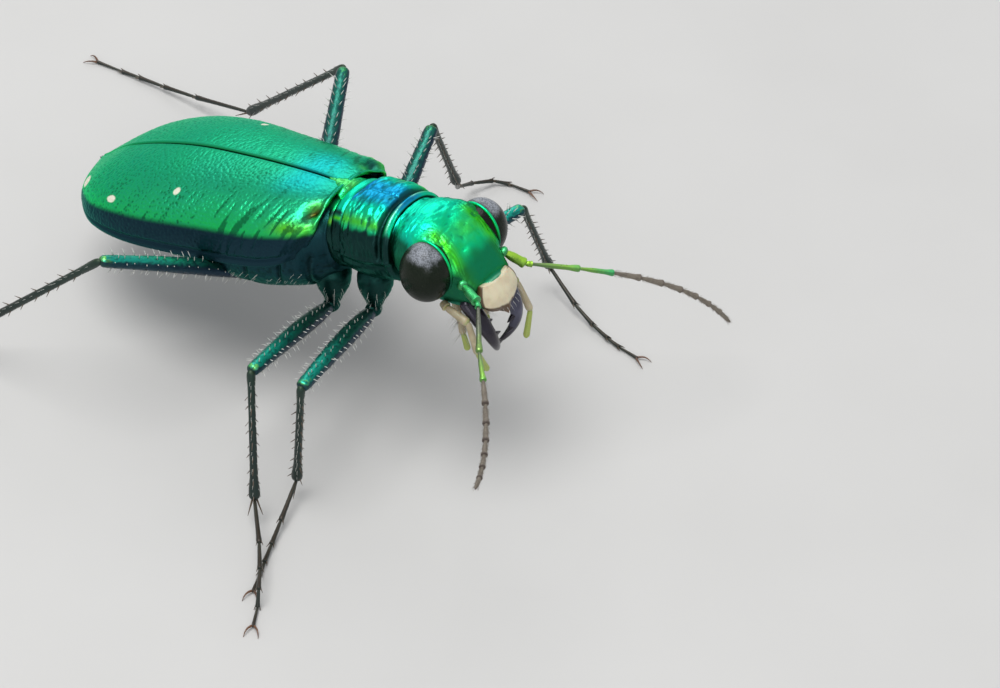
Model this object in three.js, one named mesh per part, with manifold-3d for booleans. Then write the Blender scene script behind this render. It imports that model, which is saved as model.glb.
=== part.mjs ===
// A tiger beetle at life size, standing on its six feet with its head raised.
// Millimetres, +Z up, the head toward -Y and the beetle's left side toward +X.
import * as THREE from "three";
import { mergeVertices } from "three/addons/utils/BufferGeometryUtils.js";
import Module from "manifold-3d";

const wasm = await Module();
wasm.setup();

// Driving dimensions of the trunk, measured along its own axis from the elytral base.
const BODY_PLACE = new THREE.Vector3(0.3, -1.75, 5.48);
const BODY_PITCH = 14.4;
const ELYTRA_LENGTH = 7.9;
const SHELL = 0.5;
const GAP = 0.04;
const THORAX_LENGTH = 2.9;
const ABDOMEN_LENGTH = 4.6;
const PRONOTUM = { rear: 0.14, length: 1.66, halfWidth: 1.16, up: -0.95, height: 1.0, depth: 1.05 };
const SCUTELLUM = { length: 0.7, halfWidth: 0.45, front: 0.12, thick: 0.55, tip: 0.03, keel: 0.08 };

// Driving dimensions of the head, measured from the middle of the neck.
const NECK = { forward: 1.75, up: -0.6 };
const HEAD_TURN = { pitch: 9.5, roll: -1 };
const HEAD_LENGTH = 2.42;
const EYE = { left: 1.04, forward: 1.16, up: -0.24, radii: [0.6, 0.6, 0.74] };
const LABRUM = {
  halfWidth: 0.6,
  length: 0.72,
  tooth: 0.14,
  thick: 0.3,
  forward: 2.36,
  up: -0.62,
  slope: 70,
  rootShare: 0.84,
  swell: 0.2,
  rounding: 0.22,
};
const MANDIBLE = {
  root: [0.62, 2.02, -1.02],
  inward: 0.5,
  hook: 2.6,
  bulge: 0.52,
  crossing: 0.06,
  drop: 1.35,
  bend: 140,
  radii: [0.26, 0.18],
};

// Lengths of the limb segments and the half-thickness that every limb keeps.
const LIMB = 0.26;
const LIMB_SIDES = 8;
const SOLE = LIMB * Math.cos(Math.PI / LIMB_SIDES);
const LEG_LENGTHS = {
  front: { femur: 3.52, tibia: 2.79, tarsus: 3.45 },
  mid: { femur: 3.75, tibia: 3.0, tarsus: 3.7 },
  hind: { femur: 4.63, tibia: 4.97, tarsus: 4.8 },
};
const COXA_ROOT = { inward: 0.02, rise: 0.95, forward: { front: 0.22, mid: 0.22, hind: 0.1 } };
const SETTLE = 0.62;
const TARSOMERES = [0.36, 0.21, 0.16, 0.11, 0.16];
const ANTENNOMERES = [0.62, 0.17, 1.15, 0.85, 0.72, 0.64, 0.58, 0.52, 0.48, 0.45, 0.5];

// Each leg's hip in the trunk's frame and its ankle over the floor, both as left, forward
// and up, then the swing of the knee about the line from hip to ankle, and the headings of
// the first and the last tarsal segment, in degrees from forward toward the left. The foot
// that steps over its neighbour settles later, by a smaller share of its height at a time.
const STANCE = {
  front_right: {
    pair: "front",
    hip: [-0.6, 0.65, -2.8],
    ankle: [-4.08, 1.91, 0.49],
    swing: -1.7,
    heading: [-68, -66],
  },
  front_left: {
    pair: "front",
    hip: [0.6, 0.65, -2.8],
    ankle: [5.21, 2.06, 0.69],
    swing: 4.5,
    heading: [-22, -4],
  },
  mid_right: {
    pair: "mid",
    hip: [-0.75, -0.5, -2.9],
    ankle: [-5.25, 1.65, 0.58],
    swing: 14,
    heading: [-46, -60],
    settle: 0.12,
  },
  mid_left: {
    pair: "mid",
    hip: [0.75, -0.5, -2.9],
    ankle: [5.25, -0.79, 1.74],
    swing: -2,
    heading: [124, 8],
  },
  hind_right: {
    pair: "hind",
    hip: [-0.7, -2.3, -2.6],
    ankle: [-5.4, -6.9, 0.8],
    swing: -31,
    heading: [-168, -150],
  },
  hind_left: {
    pair: "hind",
    hip: [0.7, -2.3, -2.6],
    ankle: [5.02, -7.05, 0.8],
    swing: 30.9,
    heading: [-178, -172],
  },
};

// Each antenna starts at its socket on the head. Its heading from forward toward the left
// and its rise are quadratics along its length, in degrees over the floor.
const ANTENNAE = {
  left: { socket: [0.8, 1.92, -0.46], heading: [44, 27, -10], rise: [-11, -11, -35] },
  right: { socket: [-0.7, 1.94, -0.46], heading: [-42, -8, -15], rise: [-13, 20, 11] },
};

// Colours, roughness and metalness of the shell and of its trim.
const COLOURS = {
  green: [0x12a06a, 0.32, 0.75],
  blue_green: [0x0f8f96, 0.34, 0.75],
  dark: [0x14302c, 0.45, 0.4],
  eye: [0x3a3531, 0.2, 0.0],
  cream: [0xd9c6a4, 0.45, 0.0],
  tan: [0xa98f63, 0.5, 0.0],
  mandible: [0x56525f, 0.3, 0.2],
  brown: [0x5a4a3a, 0.5, 0.1],
};

const radians = THREE.MathUtils.degToRad;
const place = (left, forward, up) => new THREE.Vector3(left, -forward, up);
const bodyFloor = new THREE.Vector3(BODY_PLACE.x, BODY_PLACE.y, 0);
const overFloor = (left, forward, up) => place(left, forward, up).add(bodyFloor);

const trunkFrame = new THREE.Matrix4()
  .makeTranslation(BODY_PLACE)
  .multiply(new THREE.Matrix4().makeRotationX(radians(-BODY_PITCH)));
const headFrame = trunkFrame
  .clone()
  .multiply(new THREE.Matrix4().makeTranslation(place(0, NECK.forward, NECK.up)))
  .multiply(new THREE.Matrix4().makeRotationX(radians(HEAD_TURN.pitch)))
  .multiply(new THREE.Matrix4().makeRotationY(radians(-HEAD_TURN.roll)));

// A value read from a few keys [position, value, ...] with smooth steps between them.
function follow(keys, t) {
  let i = 0;
  while (i < keys.length - 2 && t > keys[i + 1][0]) i += 1;
  const span = keys[i + 1][0] - keys[i][0];
  const s = THREE.MathUtils.clamp((t - keys[i][0]) / span, 0, 1);
  const slopeAt = (k) => {
    if (k <= 0 || k >= keys.length - 1) return (keys[i + 1][1] - keys[i][1]) / span;
    return (keys[k + 1][1] - keys[k - 1][1]) / (keys[k + 1][0] - keys[k - 1][0]);
  };
  const [a, b, m, n] = [keys[i][1], keys[i + 1][1], slopeAt(i) * span, slopeAt(i + 1) * span];
  return a + s * (m + s * (3 * (b - a) - 2 * m - n + s * (2 * (a - b) + m + n)));
}

// A closed solid through rings of equally many points, with a fan over each end.
function loft(rings) {
  const sides = rings[0].length;
  const positions = rings.flat().flatMap((p) => [p.x, p.y, p.z]);
  const index = [];
  for (let i = 0; i + 1 < rings.length; i += 1) {
    for (let j = 0; j < sides; j += 1) {
      const a = i * sides + j;
      const b = i * sides + ((j + 1) % sides);
      index.push(a, b, b + sides, a, b + sides, a + sides);
    }
  }
  for (const [ring, flip] of [[0, true], [rings.length - 1, false]]) {
    const hub = positions.length / 3;
    const middle = rings[ring].reduce((sum, p) => sum.add(p), new THREE.Vector3()).divideScalar(sides);
    positions.push(middle.x, middle.y, middle.z);
    for (let j = 0; j < sides; j += 1) {
      const a = ring * sides + j;
      const b = ring * sides + ((j + 1) % sides);
      index.push(hub, flip ? b : a, flip ? a : b);
    }
  }
  const geometry = new THREE.BufferGeometry();
  geometry.setAttribute("position", new THREE.Float32BufferAttribute(positions, 3));
  geometry.setIndex(index);
  return geometry;
}

// The solid of a closed geometry after its frame is applied, with its faces pointing out.
function solid(geometry, frame = new THREE.Matrix4()) {
  geometry.deleteAttribute("normal");
  geometry.deleteAttribute("uv");
  geometry.applyMatrix4(frame);
  const merged = mergeVertices(geometry, 1e-4);
  const p = merged.getAttribute("position");
  const corner = (k) => new THREE.Vector3().fromBufferAttribute(p, k);
  const faces = [];
  let volume = 0;
  for (let i = 0; i < merged.index.count; i += 3) {
    const [a, b, c] = [0, 1, 2].map((k) => merged.index.getX(i + k));
    if (a === b || b === c || c === a) continue;
    faces.push([a, b, c]);
    volume += corner(a).dot(corner(b).cross(corner(c)));
  }
  const triVerts = new Uint32Array(faces.flatMap(([a, b, c]) => (volume < 0 ? [a, c, b] : [a, b, c])));
  const vertProperties = new Float32Array(p.array);
  return new wasm.Manifold(new wasm.Mesh({ numProp: 3, vertProperties, triVerts }));
}

// A round limb segment from one point to another, with its radius given along its length.
function spindle(from, to, radius, sides = 8, flat = 1) {
  const length = from.distanceTo(to);
  const profile = radius.map(([t, r]) => new THREE.Vector2(r, t * length));
  const ends = [new THREE.Vector2(0, profile[0].y), new THREE.Vector2(0, profile[profile.length - 1].y)];
  const turned = new THREE.LatheGeometry([ends[0], ...profile, ends[1]], sides);
  const along = to.clone().sub(from).normalize();
  const side = new THREE.Vector3(0, 0, 1).cross(along).normalize();
  const up = along.clone().cross(side);
  const frame = new THREE.Matrix4().makeBasis(side.multiplyScalar(flat), along, up).setPosition(from);
  return solid(turned, frame);
}

// A ball, or an ellipsoid, about a point of a frame.
function ball(centre, radii, frame = new THREE.Matrix4(), around = 16, tall = 10) {
  const round = new THREE.SphereGeometry(1, around, tall);
  round.scale(...radii);
  round.translate(centre.x, centre.y, centre.z);
  return solid(round, frame);
}

// Elytra: each is a shell whose section is a quarter of a squared oval, from suture to margin.
const ELYTRA_HALF_WIDTH = [
  [0, 1.34],
  [0.05, 1.66],
  [0.14, 1.92],
  [0.35, 2.16],
  [0.62, 2.38],
  [0.8, 2.16],
  [0.92, 1.5],
  [1, 0.62],
];
const ELYTRA_CROWN = [[0, -0.02], [0.12, 0.06], [0.35, 0.06], [0.6, -0.08], [0.85, -0.55], [1, -1.15]];
const ELYTRA_MARGIN = [[0, -1.15], [0.2, -1.42], [0.6, -1.42], [0.9, -1.4], [1, -1.5]];
const SECTION_POWER = 2.5;
const INNER_HALF_WIDTH = 0.08;

function quarter(halfWidth, crown, margin, angle) {
  const across = Math.sin(angle) ** (2 / SECTION_POWER);
  const rise = Math.cos(angle) ** (2 / SECTION_POWER);
  return [halfWidth * across, margin + (crown - margin) * rise];
}

// The height and half-width of the elytra at a distance behind their base, less an inset.
function elytraAt(behind, inset = 0) {
  const t = THREE.MathUtils.clamp(behind / ELYTRA_LENGTH, 0, 1);
  return {
    halfWidth: follow(ELYTRA_HALF_WIDTH, t) - inset,
    crown: follow(ELYTRA_CROWN, t) - inset,
    margin: follow(ELYTRA_MARGIN, t),
  };
}

function elytron(side, grow) {
  const steps = 14;
  const arc = 8;
  const rings = [];
  for (let i = 0; i <= steps; i += 1) {
    const behind = ELYTRA_LENGTH * (1 - Math.cos((Math.PI * i) / steps)) * 0.5;
    const outer = elytraAt(behind, -grow);
    const inner = elytraAt(behind, SHELL + grow);
    const innerHalf = Math.max(inner.halfWidth, INNER_HALF_WIDTH);
    const ring = [];
    for (let j = 0; j <= arc; j += 1) {
      const [x, z] = quarter(outer.halfWidth, outer.crown, outer.margin, (Math.PI / 2) * (j / arc));
      ring.push(place(side * (x + GAP / 2), -behind, z));
    }
    for (let j = arc; j >= 0; j -= 1) {
      const [x, z] = quarter(innerHalf, inner.crown, inner.margin, (Math.PI / 2) * (j / arc));
      ring.push(place(side * (x + GAP / 2), -behind, z));
    }
    rings.push(ring);
  }
  return solid(loft(rings), trunkFrame);
}

// Scutellum: a small shield between the bases of the elytra, pointed to the rear.
function scutellum(grow) {
  const rings = [0, 0.35, 0.7, 0.96].map((t) => {
    const half = SCUTELLUM.halfWidth * (1 - t) ** 0.8 + SCUTELLUM.tip + grow;
    const forward = SCUTELLUM.front + grow - t * (SCUTELLUM.length + 2 * grow);
    const top = follow(ELYTRA_CROWN, Math.max(0, -forward) / ELYTRA_LENGTH) + SCUTELLUM.tip + grow;
    const edge = top - SCUTELLUM.keel;
    const low = top - SCUTELLUM.thick - 2 * grow;
    return [
      place(half, forward, edge),
      place(0, forward, top),
      place(-half, forward, edge),
      place(-half, forward, low),
      place(half, forward, low),
    ];
  });
  return solid(loft(rings), trunkFrame);
}

// Thorax and abdomen: the upper part lies inside the elytra, the lower part bulges below them.
const BELLY_DEPTH = [
  [0, -2.1],
  [0.08, -2.4],
  [0.3, -2.45],
  [0.5, -2.3],
  [0.75, -2.1],
  [0.9, -1.85],
  [0.96, -1.7],
];
const BELLY_WIDTH = [[0, 1.3], [0.1, 1.72], [0.3, 1.96], [0.6, 1.86], [0.8, 1.62], [0.9, 1.2], [0.96, 0.7]];

function underBody(from, to, steps) {
  const arc = 7;
  const rings = [];
  for (let i = 0; i <= steps; i += 1) {
    const behind = from + (to - from) * (i / steps);
    const cover = elytraAt(behind, SHELL + 2 * GAP);
    const t = behind / ELYTRA_LENGTH;
    const low = follow(BELLY_DEPTH, t);
    const half = follow(BELLY_WIDTH, t);
    const shoulder = cover.margin - 2 * GAP;
    const ring = [];
    for (let j = -arc; j <= arc; j += 1) {
      const angle = (Math.PI / 2) * (j / arc);
      const [x, z] = quarter(cover.halfWidth, cover.crown, shoulder, Math.abs(angle));
      ring.push(place(Math.sign(j) * x, -behind, z));
    }
    for (let j = arc; j >= -arc; j -= 1) {
      const angle = (Math.PI / 2) * (j / arc);
      const [x, z] = quarter(half, low, shoulder - 0.02, Math.abs(angle));
      ring.push(place(Math.sign(j) * x, -behind, z));
    }
    rings.push(ring);
  }
  return solid(loft(rings), trunkFrame);
}

// Prothorax: a barrel with a shallow waist behind its front rim and before its rear rim.
const BARREL = [[0, 0.86], [0.1, 0.9], [0.2, 0.96], [0.5, 1], [0.78, 0.97], [0.88, 0.93], [1, 0.88]];
const BARREL_POWER = 0.9;

function prothorax(grow) {
  const steps = 8;
  const sides = 20;
  const rings = [];
  for (let i = 0; i <= steps; i += 1) {
    const t = i / steps;
    const swell = follow(BARREL, t);
    const ring = [];
    for (let j = 0; j < sides; j += 1) {
      const angle = (2 * Math.PI * j) / sides;
      const [c, s] = [Math.cos(angle), Math.sin(angle)];
      const half = PRONOTUM.halfWidth * swell + grow;
      const tall = (s > 0 ? PRONOTUM.height : PRONOTUM.depth) * swell + grow;
      const x = half * Math.sign(c) * Math.abs(c) ** BARREL_POWER;
      const z = tall * Math.sign(s) * Math.abs(s) ** BARREL_POWER;
      const forward = PRONOTUM.rear - grow + t * (PRONOTUM.length + 2 * grow);
      ring.push(place(x, forward, PRONOTUM.up + z));
    }
    rings.push(ring);
  }
  return solid(loft(rings), trunkFrame);
}

// Head: narrow at the neck, widest before the eyes, its face falling to the upper lip.
const HEAD_REAR = 0.1;
const HEAD_CROWN = 0.6;
const HEAD_POWER = 0.85;
const HEAD_HALF_WIDTH = [
  [HEAD_REAR, 0.88],
  [0.35, 1.04],
  [1, 1.08],
  [1.6, 0.94],
  [2, 0.76],
  [HEAD_LENGTH, 0.58],
];
const HEAD_TOP = [
  [HEAD_REAR, 0.5],
  [0.5, 0.62],
  [1.1, HEAD_CROWN],
  [1.6, 0.32],
  [2.0, -0.14],
  [HEAD_LENGTH, -0.62],
];
const HEAD_LOW = [[HEAD_REAR, -0.8], [0.5, -1.12], [1.1, -1.32], [1.8, -1.32], [HEAD_LENGTH, -1.05]];

function headCapsule(grow) {
  const steps = 11;
  const sides = 22;
  const rings = [];
  for (let i = 0; i <= steps; i += 1) {
    const forward = HEAD_REAR + (HEAD_LENGTH - HEAD_REAR) * Math.sin((Math.PI / 2) * (i / steps));
    const half = follow(HEAD_HALF_WIDTH, forward) + grow;
    const top = follow(HEAD_TOP, forward) + grow;
    const low = follow(HEAD_LOW, forward) - grow;
    const level = EYE.up + (top - HEAD_CROWN) * 0.6;
    const ring = [];
    for (let j = 0; j < sides; j += 1) {
      const angle = (2 * Math.PI * j) / sides;
      const [c, s] = [Math.cos(angle), Math.sin(angle)];
      const x = half * Math.sign(c) * Math.abs(c) ** HEAD_POWER;
      const z = (s > 0 ? top - level : level - low) * Math.sign(s) * Math.abs(s) ** HEAD_POWER;
      ring.push(place(x, forward, level + z));
    }
    rings.push(ring);
  }
  return solid(loft(rings), headFrame);
}

function eye(side, grow) {
  const radii = EYE.radii.map((r) => r + grow);
  return ball(place(side * EYE.left, EYE.forward, EYE.up), radii, headFrame, 16, 9);
}

// Labrum: the plate of the upper lip, with one tooth in the middle of its front edge.
function labrum(grow) {
  const slope = radians(LABRUM.slope);
  const steps = 8;
  const half = 5;
  const rings = [];
  for (let i = 0; i <= steps; i += 1) {
    const t = i / steps;
    const swell = LABRUM.rootShare + LABRUM.swell * Math.sin(Math.PI * 0.8 * t);
    const halfWidth = LABRUM.halfWidth * swell + grow;
    const point = (across, reach, depth) => {
      const forward = LABRUM.forward + reach * Math.cos(slope) + depth;
      return place(across * halfWidth, forward, LABRUM.up - reach * Math.sin(slope));
    };
    const ring = [];
    for (let j = -half; j <= half; j += 1) {
      const across = j / half;
      const length = LABRUM.length * (1 - LABRUM.rounding * across * across);
      const tooth = LABRUM.tooth * Math.max(0, 1 - Math.abs(across) * 3);
      const bulge = LABRUM.thick * 0.5 * (1 - across * across) + grow;
      ring.push(point(across, (length + tooth) * t + grow * Math.sign(t - 0.5), bulge));
    }
    for (let j = half; j >= -half; j -= 1) {
      const across = j / half;
      const length = LABRUM.length * (1 - LABRUM.rounding * across * across);
      ring.push(point(across, length * t + grow * Math.sign(t - 0.5), -LABRUM.thick - grow));
    }
    rings.push(ring);
  }
  return solid(loft(rings), headFrame);
}

// A bent limb with rounded ends, as rings about a line of joints.
const END_REACH = 0.55;
const END_SHARE = 0.6;

function limb(points, radii, sides = 7) {
  const last = points.length - 1;
  const stations = points.map((point, i) => {
    const ahead = points[Math.min(i + 1, last)];
    const behind = points[Math.max(i - 1, 0)];
    return [point, ahead.clone().sub(behind).normalize(), radii[i]];
  });
  const end = (index, sign) => {
    const [point, axis, r] = stations[index];
    return [point.clone().addScaledVector(axis, sign * END_REACH * r), axis, r * END_SHARE];
  };
  const rings = [end(0, -1), ...stations, end(last, 1)].map(([centre, axis, r]) => {
    const side = new THREE.Vector3(0, 0, 1).cross(axis).normalize();
    const up = axis.clone().cross(side);
    return Array.from({ length: sides }, (_, j) => {
      const angle = (2 * Math.PI * (j + 0.5)) / sides;
      const point = centre.clone().addScaledVector(side, r * Math.cos(angle));
      return point.addScaledVector(up, r * Math.sin(angle));
    });
  });
  return solid(loft(rings));
}

// Mandible: a sickle that curves down and inward from the corner of the mouth.
function mandible(side, grow) {
  const [left, forward, up] = MANDIBLE.root;
  const steps = 5;
  const points = [];
  const radii = [];
  for (let i = 0; i <= steps; i += 1) {
    const t = i / steps;
    const bulge = MANDIBLE.bulge * Math.sin(radians(MANDIBLE.bend * t));
    const x = side * (left - MANDIBLE.inward * t ** MANDIBLE.hook);
    const y = forward + bulge - side * MANDIBLE.crossing * t;
    points.push(place(x, y, up - MANDIBLE.drop * t).applyMatrix4(headFrame));
    radii.push(THREE.MathUtils.lerp(...MANDIBLE.radii, t) + grow);
  }
  return limb(points, radii);
}

// Palps: short jointed feelers beside and below the mouth.
const PALP_RADIUS = 0.25;
const PALPS = {
  maxillary: {
    root: [0.96, 1.75, -1.28],
    steps: [[0.04, 0.45, -0.25], [0.04, 0.28, -0.66], [-0.24, 0.06, -0.56]],
  },
  labial: {
    root: [0.4, 1.5, -1.5],
    steps: [[0.03, 0.14, -0.48], [0, 0.12, -0.46]],
  },
};

function palp(kind, side, grow) {
  const { root, steps } = PALPS[kind];
  const points = [place(side * root[0], root[1], root[2])];
  for (const [left, forward, up] of steps) {
    const joint = points[points.length - 1];
    points.push(joint.clone().add(place(side * left, forward, up)));
  }
  return limb(points.map((p) => p.applyMatrix4(headFrame)), points.map(() => PALP_RADIUS + grow));
}

// A unit direction over the floor, from a heading and a rise in degrees.
function direction(heading, rise) {
  const [h, r] = [radians(heading), radians(rise)];
  return place(Math.sin(h) * Math.cos(r), Math.cos(h) * Math.cos(r), Math.sin(r));
}

function antenna(side, grow) {
  const { socket, heading, rise } = ANTENNAE[side];
  const total = ANTENNOMERES.reduce((sum, length) => sum + length);
  const points = [place(...socket).applyMatrix4(headFrame)];
  let run = 0;
  for (const length of ANTENNOMERES) {
    const t = (run + length / 2) / total;
    const turn = heading[0] + heading[1] * t + heading[2] * t * t;
    const lift = rise[0] + rise[1] * t + rise[2] * t * t;
    points.push(points[points.length - 1].clone().addScaledVector(direction(turn, lift), length));
    run += length;
  }
  return limb(points, points.map(() => LIMB + grow), 6);
}

// The knee of a leg, from its hip, its ankle, its two lengths and the swing of the knee.
function kneeOf(hip, ankle, femur, tibia, swing) {
  const axis = ankle.clone().sub(hip);
  const reach = axis.length();
  axis.normalize();
  const along = (femur ** 2 - tibia ** 2 + reach ** 2) / (2 * reach);
  const height = Math.sqrt(Math.max(0, femur ** 2 - along ** 2));
  const up = new THREE.Vector3(0, 0, 1).addScaledVector(axis, -axis.z).normalize();
  up.applyAxisAngle(axis, radians(swing));
  return hip.clone().addScaledVector(axis, along).addScaledVector(up, height);
}

// The tarsal joints, sinking from the ankle to the floor along a turning heading.
function tarsusPoints(ankle, length, heading, settle) {
  const points = [ankle];
  let drop = ankle.z - SOLE;
  for (let i = 0; i < TARSOMERES.length; i += 1) {
    const segment = length * TARSOMERES[i];
    const sink = Math.min(i < 3 ? drop * settle : drop, segment * 0.8);
    drop -= sink;
    const turn = THREE.MathUtils.lerp(heading[0], heading[1], i / (TARSOMERES.length - 1));
    const level = Math.sqrt(segment ** 2 - sink ** 2);
    const next = points[i].clone().addScaledVector(direction(turn, 0), level);
    next.z -= sink;
    points.push(next);
  }
  return points;
}

const FEMUR = [[0, 0.22], [0.06, 0.3], [0.3, 0.33], [0.75, 0.26], [0.95, 0.25], [1, 0.17]];
const TIBIA = [[0, 0.18], [0.06, LIMB], [0.9, LIMB], [0.97, 0.27], [1, 0.2]];
const COXA = [[0, 0.36], [0.3, 0.44], [0.75, 0.36], [1, 0.2]];
const HIP_REACH = 0.24;
const thicker = (profile, grow) => profile.map(([t, r]) => [t, r + grow]);

// The joints of one leg: the root of its coxa, its hip, knee and ankle, and its tarsal joints.
function legJoints({ pair, hip, ankle, swing, heading, settle = SETTLE }) {
  const lengths = LEG_LENGTHS[pair];
  const side = Math.sign(hip[0]);
  const joint = place(...hip).applyMatrix4(trunkFrame);
  const foot = overFloor(...ankle);
  const knee = kneeOf(joint, foot, lengths.femur, lengths.tibia, swing);
  const { inward, rise, forward } = COXA_ROOT;
  const root = place(hip[0] - side * inward, hip[1] + forward[pair], hip[2] + rise).applyMatrix4(trunkFrame);
  const tarsus = tarsusPoints(foot, lengths.tarsus, heading, settle);
  return { root, hip: joint, knee, ankle: foot, tarsus };
}

const inset = (from, to, distance) => to.clone().sub(from).normalize().multiplyScalar(distance).add(from);

// The four solids of one leg, each from a function of how much thicker it is made.
function legSegments(joints) {
  const { root, hip, knee, ankle, tarsus } = joints;
  const toes = [inset(ankle, tarsus[1], LIMB), ...tarsus.slice(1)];
  return {
    coxa: (grow) => spindle(root, hip, thicker(COXA, grow), 10),
    femur: (grow) => spindle(inset(hip, knee, HIP_REACH), knee, thicker(FEMUR, grow), 8),
    tibia: (grow) => spindle(inset(knee, ankle, LIMB), ankle, thicker(TIBIA, grow), 8),
    tarsus: (grow) => limb(toes, toes.map(() => LIMB + grow), LIMB_SIDES),
  };
}

// Every piece by name, in the order of rank: where two meet, the later one gives way.
const sides = { left: 1, right: -1 };
const pieces = [["scutellum", "blue_green", scutellum]];
for (const [side, sign] of Object.entries(sides)) {
  pieces.push([`elytron_${side}`, "green", (grow) => elytron(sign, grow)]);
}
pieces.push(["labrum", "cream", labrum]);
for (const [side, sign] of Object.entries(sides)) {
  pieces.push([`eye_${side}`, "eye", (grow) => eye(sign, grow)]);
}
for (const side of Object.keys(sides)) {
  pieces.push([`antenna_${side}`, "brown", (grow) => antenna(side, grow)]);
}
pieces.push(["pronotum", "blue_green", prothorax]);
pieces.push(["head", "green", headCapsule]);
for (const [side, sign] of Object.entries(sides)) {
  pieces.push([`mandible_${side}`, "mandible", (grow) => mandible(sign, grow)]);
  pieces.push([`maxillary_palp_${side}`, "tan", (grow) => palp("maxillary", sign, grow)]);
  pieces.push([`labial_palp_${side}`, "tan", (grow) => palp("labial", sign, grow)]);
}
const legs = Object.entries(STANCE).map(([name, stance]) => [name, legSegments(legJoints(stance))]);
const legColours = { coxa: "blue_green", femur: "green", tibia: "dark", tarsus: "dark" };
for (const [part, colour] of Object.entries(legColours)) {
  for (const [name, segments] of legs) {
    pieces.push([`${name}_${part}`, colour, segments[part]]);
  }
}
pieces.push(["thorax", "dark", () => underBody(GAP / 2, THORAX_LENGTH, 9)]);
pieces.push(["abdomen", "dark", () => underBody(THORAX_LENGTH + GAP, THORAX_LENGTH + ABDOMEN_LENGTH, 10)]);

// The body that holds most of a solid, after thin cuts have parted crumbs from it.
const larger = (a, b) => (b.volume() > a.volume() ? b : a);
const mainBody = (cut) => cut.decompose().reduce(larger);

// Whether two boxes meet or come within the gap that the pieces keep.
const within = (a, b, k) => a.min[k] <= b.max[k] + GAP && b.min[k] <= a.max[k] + GAP;
const near = (a, b) => [0, 1, 2].every((k) => within(a, b, k));

const SIMPLER_BY = 0.004;

const beetle = new THREE.Group();
const earlier = [];
for (const [name, colour, build] of pieces) {
  let shape = build(0);
  for (const [box, wide] of earlier) {
    if (near(box, shape.boundingBox())) shape = shape.subtract(wide());
  }
  earlier.push([shape.boundingBox(), () => build(GAP)]);
  const { vertProperties, triVerts } = mainBody(shape).simplify(SIMPLER_BY).getMesh();
  const geometry = new THREE.BufferGeometry();
  geometry.setAttribute("position", new THREE.BufferAttribute(vertProperties, 3));
  geometry.setIndex(new THREE.BufferAttribute(triVerts, 1));
  geometry.computeVertexNormals();
  const [color, roughness, metalness] = COLOURS[colour];
  const mesh = new THREE.Mesh(geometry, new THREE.MeshStandardMaterial({ color, roughness, metalness }));
  mesh.name = name;
  beetle.add(mesh);
}

export default beetle;
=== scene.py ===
"""A life-size tiger beetle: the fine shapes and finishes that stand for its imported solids.

Sizes inside the classes are in millimetres; a mesh is turned to metres when its piece is made.
Left is +X, forward is -Y and up is +Z.
"""

import logging
import math
from dataclasses import dataclass, field
from enum import Enum
from typing import Any, Callable, Sequence

import bpy
import numpy as np
from mathutils import Matrix, Vector


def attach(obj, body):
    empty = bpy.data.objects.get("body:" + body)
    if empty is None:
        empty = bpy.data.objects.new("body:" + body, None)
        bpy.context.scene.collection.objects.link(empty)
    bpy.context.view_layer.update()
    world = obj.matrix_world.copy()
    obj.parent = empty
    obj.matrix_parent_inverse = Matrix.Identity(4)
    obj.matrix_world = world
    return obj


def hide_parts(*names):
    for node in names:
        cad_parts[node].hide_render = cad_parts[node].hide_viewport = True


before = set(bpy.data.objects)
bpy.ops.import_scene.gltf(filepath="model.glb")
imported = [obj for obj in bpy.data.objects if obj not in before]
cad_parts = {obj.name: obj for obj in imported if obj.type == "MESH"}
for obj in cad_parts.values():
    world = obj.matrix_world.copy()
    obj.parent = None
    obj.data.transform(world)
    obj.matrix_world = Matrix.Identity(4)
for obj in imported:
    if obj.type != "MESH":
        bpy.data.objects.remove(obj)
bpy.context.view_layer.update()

log = logging.getLogger("beetle")

Array = np.ndarray
Colour = tuple[float, float, float]
Place = tuple[float, float, float]
Keys = Sequence[tuple[float, float]]
MM = 0.001
BODY = "root"
UP = np.array((0, 0, 1.0))


class Named(Enum):
    """Members whose names go into node and piece names."""

    @property
    def word(self) -> str:
        """The member's name as node and piece names have it."""
        return self.name.lower()


class Side(Named):
    """The two sides of the animal; the value is the sign of +X there."""

    LEFT = 1
    RIGHT = -1


class Pair(Named):
    """The three pairs of legs, with femur, tibia and tarsus lengths."""

    FRONT = (3.52, 2.79, 3.45)
    MID = (3.75, 3.0, 3.7)
    HIND = (4.63, 4.97, 4.8)


class Slot(Enum):
    """The record's material slots."""

    GREEN = "green_shell"
    BLUE_GREEN = "blue_green_shell"
    UNDERSIDE = "underside"
    FEMUR = "femur"
    SHANK = "shank"
    EYE = "eye"
    LABRUM = "labrum"
    MANDIBLE = "mandible"
    PALP = "palp"
    ANTENNA = "antenna"


def follow(keys: Keys, t: Array | float) -> Array:
    """A smooth curve through a few keys.

    Args:
        keys: pairs of position and value, in order.
        t: where to read the curve.

    Returns:
        The values at t, held level beyond both ends.
    """
    x, y = np.array(keys, float).T
    t = np.asarray(t, float)
    i = np.clip(np.searchsorted(x, t, "left") - 1, 0, len(x) - 2)
    secant = np.diff(y) / np.diff(x)
    inner = (y[2:] - y[:-2]) / (x[2:] - x[:-2])
    slope = np.concatenate([secant[:1], inner, secant[-1:]])
    span = x[i + 1] - x[i]
    s = np.clip((t - x[i]) / span, 0, 1)
    a, b, m, n = y[i], y[i + 1], slope[i] * span, slope[i + 1] * span
    return a + s * (m + s * (3 * (b - a) - 2 * m - n + s * (2 * (a - b) + m + n)))


def step(low: float, high: float, t: Array | float) -> Array:
    """A smooth step from 0 below low to 1 above high."""
    s = np.clip((np.asarray(t, float) - low) / (high - low), 0, 1)
    return s * s * (3 - 2 * s)


def bump(t: Array | float, centre: float, width: float) -> Array:
    """A bell of height 1 about a centre."""
    return np.exp(-(((np.asarray(t, float) - centre) / width) ** 2))


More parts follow.
